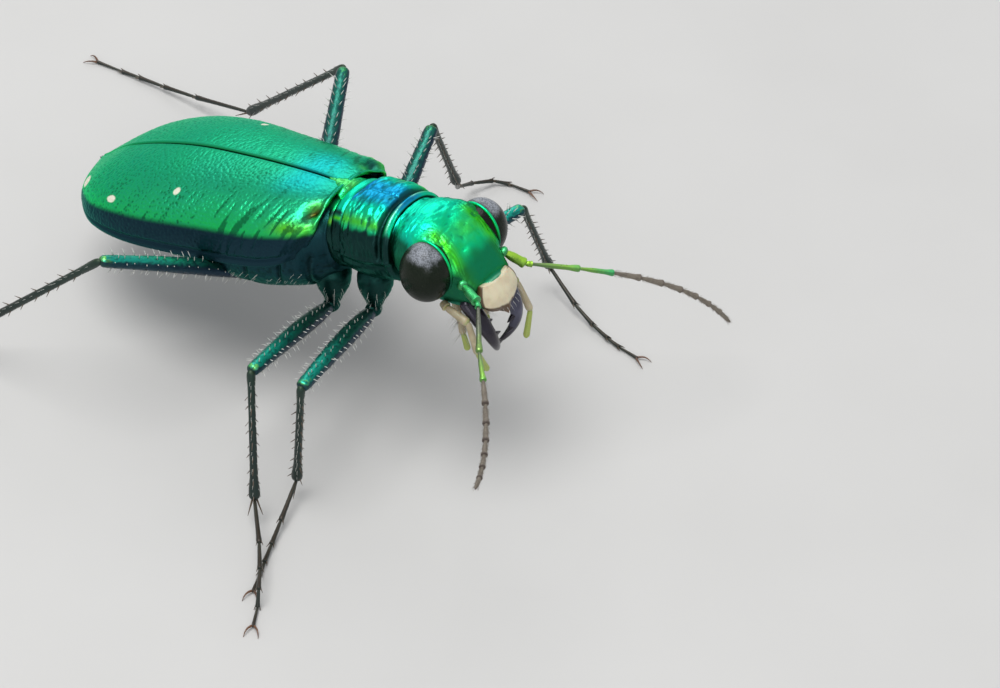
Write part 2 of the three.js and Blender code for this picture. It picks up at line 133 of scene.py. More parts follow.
def unit(v: Array) -> Array:
    """The vectors of an array at length 1."""
    return v / np.maximum(np.linalg.norm(v, axis=-1, keepdims=True), 1e-12)


def power(x: Array, exponent: float) -> Array:
    """A signed power, for squared ovals."""
    return np.sign(x) * np.abs(x) ** exponent


def turn(axis: int, degrees: float) -> Array:
    """A rotation matrix about the X (0) or the Y (1) axis."""
    return np.array(Matrix.Rotation(math.radians(degrees), 3, "XYZ"[axis]))


def along(points: Array, axis: Array, degrees: float) -> Array:
    """Vectors turned about an axis by an angle in degrees."""
    return points @ np.array(Matrix.Rotation(math.radians(degrees), 3, Vector(axis))).T


def circle(count: int) -> Array:
    """The angles of evenly spaced points round a circle."""
    return 2 * np.pi * np.arange(count) / count


def sideways(way: Array) -> Array:
    """The level unit direction across a direction."""
    return unit(np.cross(way, UP))


def around(axis: Array, hint: Sequence[float], spin: Array) -> Array:
    """Unit directions across an axis.

    Args:
        axis: the unit axis.
        hint: angle 0 is square to this direction and to the axis.
        spin: angles in radians.

    Returns:
        One direction for each angle.
    """
    side = unit(np.cross(axis, hint))
    return np.cos(spin)[:, None] * side + np.sin(spin)[:, None] * np.cross(axis, side)


def padded(
    values: dict[str, Array], shape: tuple[int, int], axis: int, ends: tuple[int, int],
) -> dict[str, Array]:
    """Named values carried on over the rings or columns that close a mesh.

    Args:
        values: the values, each in the shape or spread to it.
        shape: rows and columns before the closing ones.
        axis: 0 to add rows and 1 to add columns.
        ends: how many are added before and after.

    Returns:
        The values, with 1 for `dark` (painted shade on the closing faces) and 0 for all others where they were added.
    """
    width = [(0, 0), (0, 0)]
    width[axis] = ends
    return {name: np.pad(np.broadcast_to(value, shape), width, constant_values=float(name == "dark"))
            for name, value in values.items()}


@dataclass(frozen=True)
class Placement:
    """Where a sub-assembly's own left, forward and up lie in the model."""

    rotation: Array
    origin: Array

    def at(self, left: Any, forward: Any, up: Any) -> Array:
        """Points of the model from left, forward and up of this placement."""
        return self.way(left, forward, up) + self.origin

    def way(self, left: Any, forward: Any, up: Any) -> Array:
        """Directions of the model from left, forward and up of this placement."""
        v = np.stack(np.broadcast_arrays(left, -np.asarray(forward, float), up), -1).astype(float)
        return v @ self.rotation.T


FLOOR = Placement(np.eye(3), np.array([0.3, -1.75, 0.0]))
TRUNK = Placement(turn(0, -14.4), np.array([0.3, -1.75, 5.48]))
HEAD = Placement(TRUNK.rotation @ turn(0, 9.5) @ turn(1, 1.0), TRUNK.at(0, 1.75, -0.6))


class Grain:
    """Smooth noise and cells over a plane, drawn once from a seed."""

    SIZE = 64

    def __init__(self, seed: int) -> None:
        """Draws the table of values and the jitter of the cells from the seed."""
        random = np.random.default_rng(seed)
        self.table = random.random((self.SIZE, self.SIZE)) * 2 - 1
        self.jitter = random.random((self.SIZE, self.SIZE, 2))

    def soft(self, x: Array, y: Array, around: int = SIZE) -> Array:
        """Smooth noise.

        Args:
            x: first coordinate, one unit to a cell.
            y: second coordinate, which repeats after `around` units.
            around: the period of y in whole cells.

        Returns:
            Values from -1 to 1.
        """
        i, j = np.floor(x).astype(int), np.floor(y).astype(int)
        u, v = x - i, y - j
        u, v = u * u * (3 - 2 * u), v * v * (3 - 2 * v)
        a, b = i % self.SIZE, (i + 1) % self.SIZE
        c, d = j % around % self.SIZE, (j + 1) % around % self.SIZE
        low = self.table[a, c] * (1 - u) + self.table[b, c] * u
        high = self.table[a, d] * (1 - u) + self.table[b, d] * u
        return low * (1 - v) + high * v

    def cells(self, x: Array, y: Array, around: int = SIZE) -> Array:
        """The distance to the nearest of one jittered point to a cell.

        Args:
            x: first coordinate, one unit to a cell.
            y: second coordinate, which repeats after `around` units.
            around: the period of y in whole cells.

        Returns:
            Distances, 0 at a point and about 0.7 between points.
        """
        i, j = np.floor(x).astype(int), np.floor(y).astype(int)
        nearest = np.full(np.shape(x), 9.0)
        for di in (-1, 0, 1):
            for dj in (-1, 0, 1):
                shift = self.jitter[(i + di) % self.SIZE, (j + dj) % around % self.SIZE]
                gap = np.hypot(i + di + shift[..., 0] - x, j + dj + shift[..., 1] - y)
                nearest = np.minimum(nearest, gap)
        return nearest


def outward(grid: Array, around: bool) -> Array:
    """The normals of a grid of points, facing away from the middle of each row.

    Args:
        grid: rows by columns of points.
        around: whether the last column meets the first.

    Returns:
        Unit normals in the grid's shape.
    """
    rows = np.gradient(grid, axis=0)
    columns = (np.roll(grid, -1, 1) - np.roll(grid, 1, 1)) if around else np.gradient(grid, axis=1)
    normals = unit(np.cross(rows, columns))
    from_middle = grid - grid.mean(axis=1, keepdims=True)
    return normals * (1 if (normals * from_middle).sum() > 0 else -1)


def placed(name: str, data: bpy.types.ID) -> bpy.types.Object:
    """A new object in the scene, made from its data."""
    made = bpy.data.objects.new(name, data)
    bpy.context.scene.collection.objects.link(made)
    return made


@dataclass
class Skin:
    """A closed mesh in millimetres, with named values on its points."""

    points: Array
    quads: Array
    caps: list[list[int]] = field(default_factory=list)
    values: dict[str, Array] = field(default_factory=dict)

    @classmethod
    def rings(cls, grid: Array, **values: Array) -> "Skin":
        """A closed body through rings of points, each end closed by one face.

        Args:
            grid: rings by points by three coordinates.
            values: named values in the shape of rings by points, or one for all.

        Returns:
            The body, with its faces pointing out.
        """
        rows, sides = grid.shape[:2]
        first = (np.arange(rows - 1)[:, None] * sides + np.arange(sides)).ravel()
        second = (np.arange(rows - 1)[:, None] * sides + (np.arange(sides) + 1) % sides).ravel()
        quads = np.stack([first, second, second + sides, first + sides], 1)
        caps = [list(range(sides))[::-1], list(range((rows - 1) * sides, rows * sides))]
        points = grid.reshape(-1, 3)
        a, b, c, d = (points[quads[:, k]] for k in range(4))
        middle = points.mean(0)
        if (np.cross(c - a, d - b) * ((a + c) / 2 - middle)).sum() < 0:
            quads, caps = quads[:, ::-1], [cap[::-1] for cap in caps]
        spread = {k: np.broadcast_to(v, (rows, sides)).ravel() for k, v in values.items()}
        return cls(points, quads, caps, spread)

    @classmethod
    def loop(cls, grid: Array, **values: Array) -> "Skin":
        """A closed ring of rings, whose last ring meets the first."""
        made = cls.rings(np.concatenate([grid, grid[:1]]), **values)
        kept = grid.shape[0] * grid.shape[1]
        trimmed = {name: value[:kept] for name, value in made.values.items()}
        return cls(made.points[:kept], made.quads % kept, [], trimmed)

    @classmethod
    def joined(cls, skins: Sequence["Skin"]) -> "Skin":
        """Several bodies as one mesh; a value that a body lacks is 0 there."""
        starts = np.cumsum([0] + [len(s.points) for s in skins])
        names = sorted({name for s in skins for name in s.values})
        return cls(
            np.concatenate([s.points for s in skins]),
            np.concatenate([s.quads + start for s, start in zip(skins, starts)]),
            [[i + int(start) for i in cap] for s, start in zip(skins, starts) for cap in s.caps],
            {n: np.concatenate([s.values.get(n, np.zeros(len(s.points))) for s in skins]) for n in names},
        )

    def piece(self, name: str, finish: bpy.types.Material, slot: Slot, *nodes: str) -> bpy.types.Object:
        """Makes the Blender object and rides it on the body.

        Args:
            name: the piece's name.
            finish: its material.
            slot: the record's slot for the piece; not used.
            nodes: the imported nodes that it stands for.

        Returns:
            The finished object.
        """
        mesh = bpy.data.meshes.new(name)
        mesh.from_pydata((self.points * MM).tolist(), [], self.quads.tolist() + self.caps)
        mesh.validate()
        mesh.shade_smooth()
        for label, data in self.values.items():
            layer = mesh.attributes.new(label, "FLOAT", "POINT")
            layer.data.foreach_set("value", np.asarray(data, np.float32))
        mesh.materials.append(finish)
        made = placed(name, mesh)
        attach(made, BODY)
        if nodes:
            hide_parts(*nodes)
        log.info("%s: %d faces", name, len(mesh.polygons))
        return made


def tube(path: Array, radii: Array, sides: int, flat: float = 1.0, hint: Sequence[float] = (0, 0, 1)) -> Array:
    """Rings about a line, turned as little as possible from one to the next.

    Args:
        path: the line's points.
        radii: one radius for each point.
        sides: how many points a ring has.
        flat: the share of the radius that is kept along the hint.
        hint: the direction that the first ring's second axis is near.

    Returns:
        A grid of rings by sides by three coordinates.
    """
    way = unit(np.gradient(path, axis=0))
    up = np.array(hint, float)
    angle = circle(sides)
    grid = np.empty((len(path), sides, 3))
    for i, tangent in enumerate(way):
        up = unit(up - tangent * (up @ tangent))
        side = np.cross(tangent, up)
        ring = np.outer(np.cos(angle), side) + flat * np.outer(np.sin(angle), up)
        grid[i] = path[i] + radii[i] * ring
    return grid


def rounded(t: Array, first: float, last: float) -> Array:
    """A factor on a radius that closes both ends in a quarter circle.

    Args:
        t: position from 0 to 1.
        first: the share of the length that the first rounding takes.
        last: the share that the last rounding takes.

    Returns:
        Factors from nearly 0 to 1.
    """
    near = np.clip(1 - t / first, 0, 0.9995)
    far = np.clip(1 - (1 - t) / last, 0, 0.9995)
    return np.sqrt(1 - near**2) * np.sqrt(1 - far**2)


def spaced(count: int) -> Array:
    """Positions from 0 to 1, closer together toward both ends."""
    return 0.5 - 0.5 * np.cos(np.pi * np.arange(count) / (count - 1))


def spine(root: Array, tip: Array, radius: float, bend: Array | None = None, rows: int = 8) -> Skin:
    """A tapered spine, spur, tooth or claw.

    Args:
        root: where it starts.
        tip: where it ends.
        radius: its radius at the root.
        bend: how far its middle bows out, if it does.
        rows: how many rings it has.

    Returns:
        The closed spine.
    """
    t = np.linspace(0, 1, rows)
    path = root + (tip - root) * t[:, None]
    if bend is not None:
        path = path + np.outer(4 * t * (1 - t), bend)
    return Skin.rings(tube(path, radius * (1 - t) ** 0.8 + 0.004, 8, hint=(0.2, 0.3, 0.9)), along=t[:, None])


class Tone:
    """A value or colour on its way through a material, with arithmetic that adds nodes."""

    def __init__(self, surface: "Surface", socket: bpy.types.NodeSocket | None) -> None:
        """Wraps one output socket of a surface's nodes."""
        self.surface = surface
        self.socket = socket

    def _math(self, operation: str, *inputs: "Tone | float") -> "Tone":
        """One Math node on values."""
        return self.surface.node("ShaderNodeMath", {"operation": operation}, dict(enumerate(inputs)))

    def __add__(self, other: "Tone | float") -> "Tone":
        """self + other."""
        return self._math("ADD", self, other)

    def __radd__(self, other: float) -> "Tone":
        """other + self."""
        return self._math("ADD", other, self)

    def __sub__(self, other: "Tone | float") -> "Tone":
        """self - other."""
        return self._math("SUBTRACT", self, other)

    def __rsub__(self, other: float) -> "Tone":
        """other - self."""
        return self._math("SUBTRACT", other, self)

    def __mul__(self, other: "Tone | float") -> "Tone":
        """self * other."""
        return self._math("MULTIPLY", self, other)

    def __rmul__(self, other: float) -> "Tone":
        """other * self."""
        return self._math("MULTIPLY", other, self)

    def between(self, low: float, high: float) -> "Tone":
        """A smooth step from 0 at low to 1 at high."""
        settings = {"interpolation_type": "SMOOTHSTEP"}
        return self.surface.node("ShaderNodeMapRange", settings, {0: self, 1: low, 2: high})

    def ramp(self, *stops: tuple[float, Colour]) -> "Tone":
        """Colours along the value."""
        return self.surface.node("ShaderNodeValToRGB", {"stops": stops}, {0: self})


class Surface:
    """One material, put together from expressions."""

    def __init__(self, name: str) -> None:
        """Starts an empty node tree under a name."""
        self.material = bpy.data.materials.new(name)
        self.material.use_nodes = True
        self.tree = self.material.node_tree
        self.tree.nodes.clear()

    def node(self, kind: str, settings: dict[str, Any], sockets: dict[Any, Any], output: Any = 0) -> Tone:
        """Adds a node.

        Args:
            kind: the node's type.
            settings: its properties, set first; "stops" holds a ramp's places and colours.
            sockets: values or links of its inputs, by index or name.
            output: the output to go on from.

        Returns:
            The output, ready for more arithmetic.
        """
        made = self.tree.nodes.new(kind)
        for key, value in settings.items():
            if key == "stops":
                self._stops(made.color_ramp, value)
            else:
                setattr(made, key, value)
        for key, value in sockets.items():
            if isinstance(value, Tone):
                self.tree.links.new(value.socket, made.inputs[key])
            elif isinstance(value, tuple) and made.inputs[key].type == "RGBA":
                made.inputs[key].default_value = (*value, 1.0)
            else:
                made.inputs[key].default_value = value
        return Tone(self, made.outputs[output] if made.outputs else None)

    @staticmethod
    def _stops(ramp: bpy.types.ColorRamp, stops: Sequence[tuple[float, Colour]]) -> None:
        """Places the colours of a ramp."""
        while len(ramp.elements) < len(stops):
            ramp.elements.new(0.5)
        for element, (place, colour) in zip(ramp.elements, stops):
            element.position = place
            element.color = (*colour, 1.0)

    def mark(self, name: str) -> Tone:
        """A named value that the mesh carries."""
        return self.node("ShaderNodeAttribute", {"attribute_name": name}, {}, "Fac")

    def facing(self, direction: Sequence[float]) -> Tone:
        """How far the surface faces a fixed direction of the model, from -1 to 1."""
        normal = self.node("ShaderNodeNewGeometry", {}, {}, "Normal")
        way = tuple(Vector(direction).normalized())
        return self.node("ShaderNodeVectorMath", {"operation": "DOT_PRODUCT"}, {0: normal, 1: way}, "Value")

    def place(self) -> Tone:
        """The point's place in the model, in metres."""
        return self.node("ShaderNodeTexCoord", {}, {}, "Object")

    def noise(self, size: float, detail: float) -> Tone:
        """Noise about 0.5 whose features have a size in millimetres."""
        sockets = {"Vector": self.place(), "Scale": 1 / (size * MM), "Detail": detail}
        return self.node("ShaderNodeTexNoise", {}, sockets)

    def cells(self, size: float) -> Tone:
        """The distance to the nearest of jittered points, one to a cell of a size in millimetres."""
        sockets = {"Vector": self.place(), "Scale": 1 / (size * MM)}
        return self.node("ShaderNodeTexVoronoi", {}, sockets, "Distance")

    def blend(self, first: Tone | Colour, second: Tone | Colour, share: Tone | float) -> Tone:
        """The first colour going over to the second."""
        return self.node("ShaderNodeMix", {"data_type": "RGBA"}, {0: share, 6: first, 7: second}, 2)

    def relief(self, height: Tone, depth: float) -> Tone:
        """A bumped normal from a height whose full range is a depth in millimetres."""
        return self.node("ShaderNodeBump", {}, {"Distance": depth * MM, "Height": height}, "Normal")

    def shade(self, **inputs: Any) -> bpy.types.Material:
        """Ends the tree in a shader.

        Args:
            inputs: the shader's sockets, with _ for the spaces in their names.

        Returns:
            The finished material.
        """
        sockets = {name.replace("_", " "): value for name, value in inputs.items()}
        shader = self.node("ShaderNodeBsdfPrincipled", {}, sockets)
        self.node("ShaderNodeOutputMaterial", {}, {0: shader})
        return self.material


@dataclass(frozen=True)
class MetalCuticle:
    """Metallic shell whose colour changes with the way it faces and with its relief.

    The way it faces picks from the top, slope, side and under colours: the shift of hue paints the
    shell's iridescence as one light shows it, and the dark side and under colours are painted shade
    on the lower flanks. The mesh may carry `relief` (-1 in pits to 1 on ridges; low relief takes
    painted shade), `azure` and `lime` (shares of those tints: a painted blue sheen and a painted
    yellow-green highlight), `bronze` (a painted bronze reflection), `dark` (share of painted shade,
    as on the flanks), `rim` (a pale painted highlight) and `spot` (cream).
    """

    name: str
    top: Colour
    slope: Colour
    side: Colour
    under: Colour
    azure: Colour = (0.005, 0.42, 0.60)
    lime: Colour = (0.20, 0.72, 0.03)
    pit: Colour = (0.004, 0.06, 0.05)
    bronze: Colour = (0.075, 0.06, 0.004)
    rim: Colour = (0.30, 0.78, 0.50)
    cream: Colour = (0.72, 0.68, 0.55)
    edge: Colour = (0.35, 1.0, 0.8)
    roughness: float = 0.33
    coat: float = 0.08
    fine: float = 0.035
    depth: float = 0.004

    def material(self) -> bpy.types.Material:
        """Builds the finish as a material."""
        s = Surface(self.name)
        drift = s.noise(0.9, 2.0) - 0.5
        # The ramp by facing paints the shell's iridescence as one light shows it, and paints shade on the lower
        # flanks with the side and under colours.
        height = s.facing((0, 0, 1)) + 0.22 * drift
        shares = ((0.0, self.under), (0.3, self.under), (0.5, self.side), (0.72, self.slope), (1.0, self.top))
        colour = (height * 0.5 + 0.5).ramp(*shares)
        # The azure and lime tints paint the shell's iridescence where one light shows it: a blue sheen and a
        # yellow-green highlight.
        colour = s.blend(colour, self.azure, s.mark("azure"))
        colour = s.blend(colour, self.lime, s.mark("lime"))
        # Painted shade: where the relief is low, in pits and wrinkle troughs, the colour goes toward the dark pit
        # colour.
        mottle = s.noise(0.07, 4.0)
        low = s.mark("relief") * -1.0 + (mottle - 0.5) * 0.9
        colour = s.blend(colour, self.pit, low.between(0.0, 0.9) * 0.75)
        # Painted reflection: a bronze tint where the mesh marks it, in one basal hollow.
        colour = s.blend(colour, self.bronze, s.mark("bronze"))
        # Painted shade: the under colour is laid over wherever the mesh marks dark.
        colour = s.blend(colour, self.under, s.mark("dark"))
        # Painted highlight: a pale line where the mesh marks a rim.
        colour = s.blend(colour, self.rim, s.mark("rim"))
        spot = s.mark("spot")
        colour = s.blend(colour, self.cream, spot)
        rough = self.roughness + 0.16 * mottle - 0.08 + 0.2 * spot
        bump = s.relief(s.noise(self.fine, 4.0) + 0.5 * s.cells(self.fine * 1.6), self.depth)
        return s.shade(Base_Color=colour, Metallic=0.92 - 0.9 * spot, Roughness=rough, Coat_Weight=self.coat,
                       Coat_Roughness=0.25, Specular_Tint=self.edge, Normal=bump)


@dataclass(frozen=True)
class LimbCuticle:
    """Shell of a limb, with a colour for its root, its middle, the part before its tip and its end."""

    name: str
    root: Colour
    middle: Colour
    tip: Colour
    end: Colour
    metallic: float = 0.7
    roughness: float = 0.35
    under: Colour = (0.01, 0.03, 0.028)
    shade: float = 0.6

    def material(self) -> bpy.types.Material:
        """Builds the finish as a material."""
        s = Surface(self.name)
        mottle = s.noise(0.08, 4.0)
        run = s.mark("along") + 0.25 * (mottle - 0.5)
        stops = ((0.0, self.root), (0.4, self.middle), (0.78, self.tip), (0.95, self.tip), (1.0, self.end))
        colour = run.ramp(*stops)
        # Painted shade: the downward-facing side of the limb goes toward the under colour.
        shade = (s.facing((0, 0, -1)) + 0.4 * (mottle - 0.5)).between(-0.88, -0.45)
        colour = s.blend(colour, self.under, shade * self.shade)
        # Painted shade in the dents of the limb's uneven skin.
        colour = s.blend(colour, self.under, (0.5 - s.mark("relief")).between(0.6, 1.4) * 0.6)
        bump = s.relief(s.noise(0.03, 4.0) + 0.6 * s.noise(0.012, 2.0), 0.004)
        rough = self.roughness + 0.2 * mottle - 0.1
        return s.shade(Base_Color=colour, Metallic=self.metallic, Roughness=rough, Coat_Weight=0.15,
                       Coat_Roughness=0.25, Normal=bump)


@dataclass(frozen=True)
class PlainCuticle:
    """Bare horny shell with two tones, darker where the mesh says `dark`."""

    name: str
    light: Colour
    shaded: Colour
    dark: Colour
    roughness: float = 0.42
    metallic: float = 0.0
    patch: float = 0.25
    subsurface: float = 0.0
    bleed: float = 0.0004

    def material(self) -> bpy.types.Material:
        """Builds the finish as a material."""
        s = Surface(self.name)
        mottle = s.noise(self.patch, 4.0)
        colour = s.blend(self.light, self.shaded, mottle.between(0.3, 0.75))
        dark = s.mark("dark") + 0.5 * (mottle - 0.5) * s.mark("dark")
        colour = s.blend(colour, self.dark, dark.between(0.1, 0.9))
        bump = s.relief(s.noise(0.04, 4.0), 0.005)
        rough = self.roughness + 0.2 * (mottle - 0.5)
        return s.shade(Base_Color=colour, Metallic=self.metallic, Roughness=rough,
                       Subsurface_Weight=self.subsurface, Subsurface_Scale=self.bleed,
                       Coat_Weight=0.2, Coat_Roughness=0.2, Normal=bump)


@dataclass(frozen=True)
class FacetedEye:
    """Dark compound eye with fine facets under a clear gloss."""

    name: str
    upper: Colour
    lower: Colour
    rim: Colour
    top_highlight: Colour
    facet: float = 0.034

    def material(self) -> bpy.types.Material:
        """Builds the finish as a material."""
        s = Surface(self.name)
        facets = s.cells(self.facet)
        mottle = s.noise(0.3, 3.0)
        # Painted light and shade: the eye is lighter where it faces up and darker where it faces down.
        height = s.facing((0, 0, 1)) + 0.5 * (mottle - 0.5)
        colour = s.blend(self.lower, self.upper, height.between(-0.5, 0.8))
        # Painted highlight: a pale whitish patch over the upward-facing top of the eye.
        colour = s.blend(colour, self.top_highlight, (height + 0.5 * (mottle - 0.5)).between(0.5, 0.95) * 0.85)
        colour = s.blend(colour, self.rim, s.mark("rim"))
        colour = s.blend(colour, self.lower, facets.between(0.35, 0.75) * 0.5)
        bump = s.relief(1 - facets, 0.003)
        return s.shade(Base_Color=colour, Roughness=0.2 + 0.12 * mottle, Specular_IOR_Level=0.12,
                       Coat_Weight=0.04, Coat_Roughness=0.08, Normal=bump)


@dataclass(frozen=True)
class HairFinish:
    """Bristles and down: one colour, paler to the tip."""

    name: str
    colour: Colour
    tip: Colour

    def material(self) -> bpy.types.Material:
        """Builds the finish as a material."""
        s = Surface(self.name)
        tone = s.blend(self.colour, self.tip, s.mark("along"))
        tone = s.blend(tone, self.colour, s.noise(0.2, 2.0).between(0.45, 0.8) * 0.5)
        return s.shade(Base_Color=tone, Roughness=0.4 + 0.1 * s.noise(0.05, 2.0))


Finishes = dict[str, bpy.types.Material]
FINISHES: dict[str, MetalCuticle | LimbCuticle | PlainCuticle | FacetedEye | HairFinish] = {
    # In the shell finishes, side and under are painted shade on the lower flanks; azure and lime are a painted sheen
    # and a painted highlight.
    "elytron": MetalCuticle(
        "elytron_green", top=(0.018, 0.44, 0.23), slope=(0.018, 0.66, 0.14), side=(0.014, 0.30, 0.03),
        under=(0.009, 0.032, 0.05), azure=(0.004, 0.44, 0.46), lime=(0.15, 0.80, 0.02), pit=(0.003, 0.12, 0.04),
        fine=0.03, depth=0.003,
    ),
    "pronotum": MetalCuticle(
        "pronotum_blue_green", top=(0.003, 0.70, 0.42), slope=(0.004, 0.66, 0.24), side=(0.03, 0.48, 0.03),
        under=(0.007, 0.035, 0.032), azure=(0.008, 0.24, 0.66), lime=(0.09, 0.72, 0.02), pit=(0.003, 0.10, 0.09),
    ),
    "head": MetalCuticle(
        "head_green", top=(0.004, 0.80, 0.33), slope=(0.006, 0.76, 0.22), side=(0.03, 0.55, 0.08),
        under=(0.008, 0.10, 0.05), azure=(0.003, 0.82, 0.56), lime=(0.07, 0.76, 0.03), pit=(0.003, 0.22, 0.10),
        fine=0.028, depth=0.0045,
    ),
    # The underside's dark blue-green is its own colour, deepened as painted shade beneath the body.
    "underside": MetalCuticle(
        "underside_dark", top=(0.006, 0.10, 0.08), slope=(0.008, 0.045, 0.055), side=(0.008, 0.035, 0.05),
        under=(0.008, 0.032, 0.042), pit=(0.003, 0.015, 0.02), roughness=0.36,
    ),
    "collar": MetalCuticle(
        "collar_green", top=(0.010, 0.72, 0.24), slope=(0.02, 0.66, 0.10), side=(0.06, 0.5, 0.02),
        lime=(0.26, 0.78, 0.06), under=(0.008, 0.04, 0.035), roughness=0.3,
    ),
    # The coxae's teal is their own colour, darkened nearly to black as painted shade under the body.
    "coxa": MetalCuticle(
        "coxa_teal", top=(0.006, 0.055, 0.045), slope=(0.006, 0.042, 0.036), side=(0.006, 0.035, 0.032),
        under=(0.006, 0.026, 0.026), pit=(0.003, 0.014, 0.014), roughness=0.42,
    ),
    # Painted highlight: the femur's tip and end colours are brighter, standing in for the light toward the knee.
    "femur": LimbCuticle(
        "femur_green", root=(0.014, 0.07, 0.06), middle=(0.012, 0.15, 0.10), tip=(0.010, 0.42, 0.31),
        end=(0.18, 0.62, 0.14), metallic=0.85, under=(0.010, 0.026, 0.055), shade=0.94,
    ),
    # Painted shade: a darker copy of the femur finish for the left mid and hind femora.
    "femur_painted_shade": LimbCuticle(
        "femur_teal_painted_shade", root=(0.012, 0.06, 0.055), middle=(0.010, 0.09, 0.075), tip=(0.010, 0.15, 0.11),
        end=(0.05, 0.30, 0.10), metallic=0.8, under=(0.010, 0.026, 0.055), shade=0.94,
    ),
    "tibia": LimbCuticle(
        "tibia_bronze", root=(0.022, 0.05, 0.022), middle=(0.024, 0.034, 0.022), tip=(0.026, 0.028, 0.018),
        end=(0.024, 0.022, 0.015), metallic=0.5, roughness=0.42,
    ),
    "tarsus": LimbCuticle(
        "tarsus_brown", root=(0.04, 0.04, 0.025), middle=(0.042, 0.034, 0.022), tip=(0.034, 0.024, 0.014),
        end=(0.03, 0.018, 0.01), metallic=0.35,
    ),
    "claw": PlainCuticle(
        "claw_horn", light=(0.16, 0.07, 0.03), shaded=(0.09, 0.04, 0.02), dark=(0.02, 0.01, 0.007), roughness=0.3,
    ),
    # The eye's upper and lower tones are painted light and shade, and its pale top tone is a painted highlight.
    "eye": FacetedEye(
        "eye_brown", upper=(0.014, 0.019, 0.012), lower=(0.004, 0.009, 0.004), rim=(0.008, 0.009, 0.007),
        top_highlight=(0.34, 0.36, 0.40),
    ),
    "labrum": PlainCuticle(
        "labrum_cream", light=(0.76, 0.68, 0.47), shaded=(0.64, 0.54, 0.36), dark=(0.09, 0.05, 0.02),
        roughness=0.38, subsurface=0.15,
    ),
    "mandible": PlainCuticle(
        "mandible_horn", light=(0.11, 0.11, 0.16), shaded=(0.05, 0.05, 0.08), dark=(0.02, 0.016, 0.024),
        roughness=0.22, metallic=0.5, patch=0.4,
    ),
    "palp": PlainCuticle(
        "palp_tan", light=(0.46, 0.40, 0.26), shaded=(0.32, 0.27, 0.16), dark=(0.34, 0.42, 0.09), roughness=0.40,
        subsurface=0.1,
    ),
    "feeler_base": LimbCuticle(
        "feeler_metal", root=(0.20, 0.21, 0.16), middle=(0.34, 0.68, 0.10), tip=(0.08, 0.66, 0.22),
        end=(0.42, 0.76, 0.06), roughness=0.3, under=(0.03, 0.10, 0.03),
    ),
    "feeler_end": PlainCuticle(
        "feeler_brown", light=(0.20, 0.17, 0.13), shaded=(0.13, 0.105, 0.08), dark=(0.07, 0.05, 0.04), roughness=0.6,
        patch=0.1,
    ),
    "bristle": HairFinish("bristle_white", colour=(0.62, 0.62, 0.56), tip=(0.82, 0.82, 0.78)),
    "spine": PlainCuticle(
        "spine_brown", light=(0.10, 0.07, 0.04), shaded=(0.06, 0.04, 0.025), dark=(0.03, 0.02, 0.012), roughness=0.4,
    ),
    "down": HairFinish("down_brown", colour=(0.22, 0.19, 0.15), tip=(0.34, 0.31, 0.27)),
}


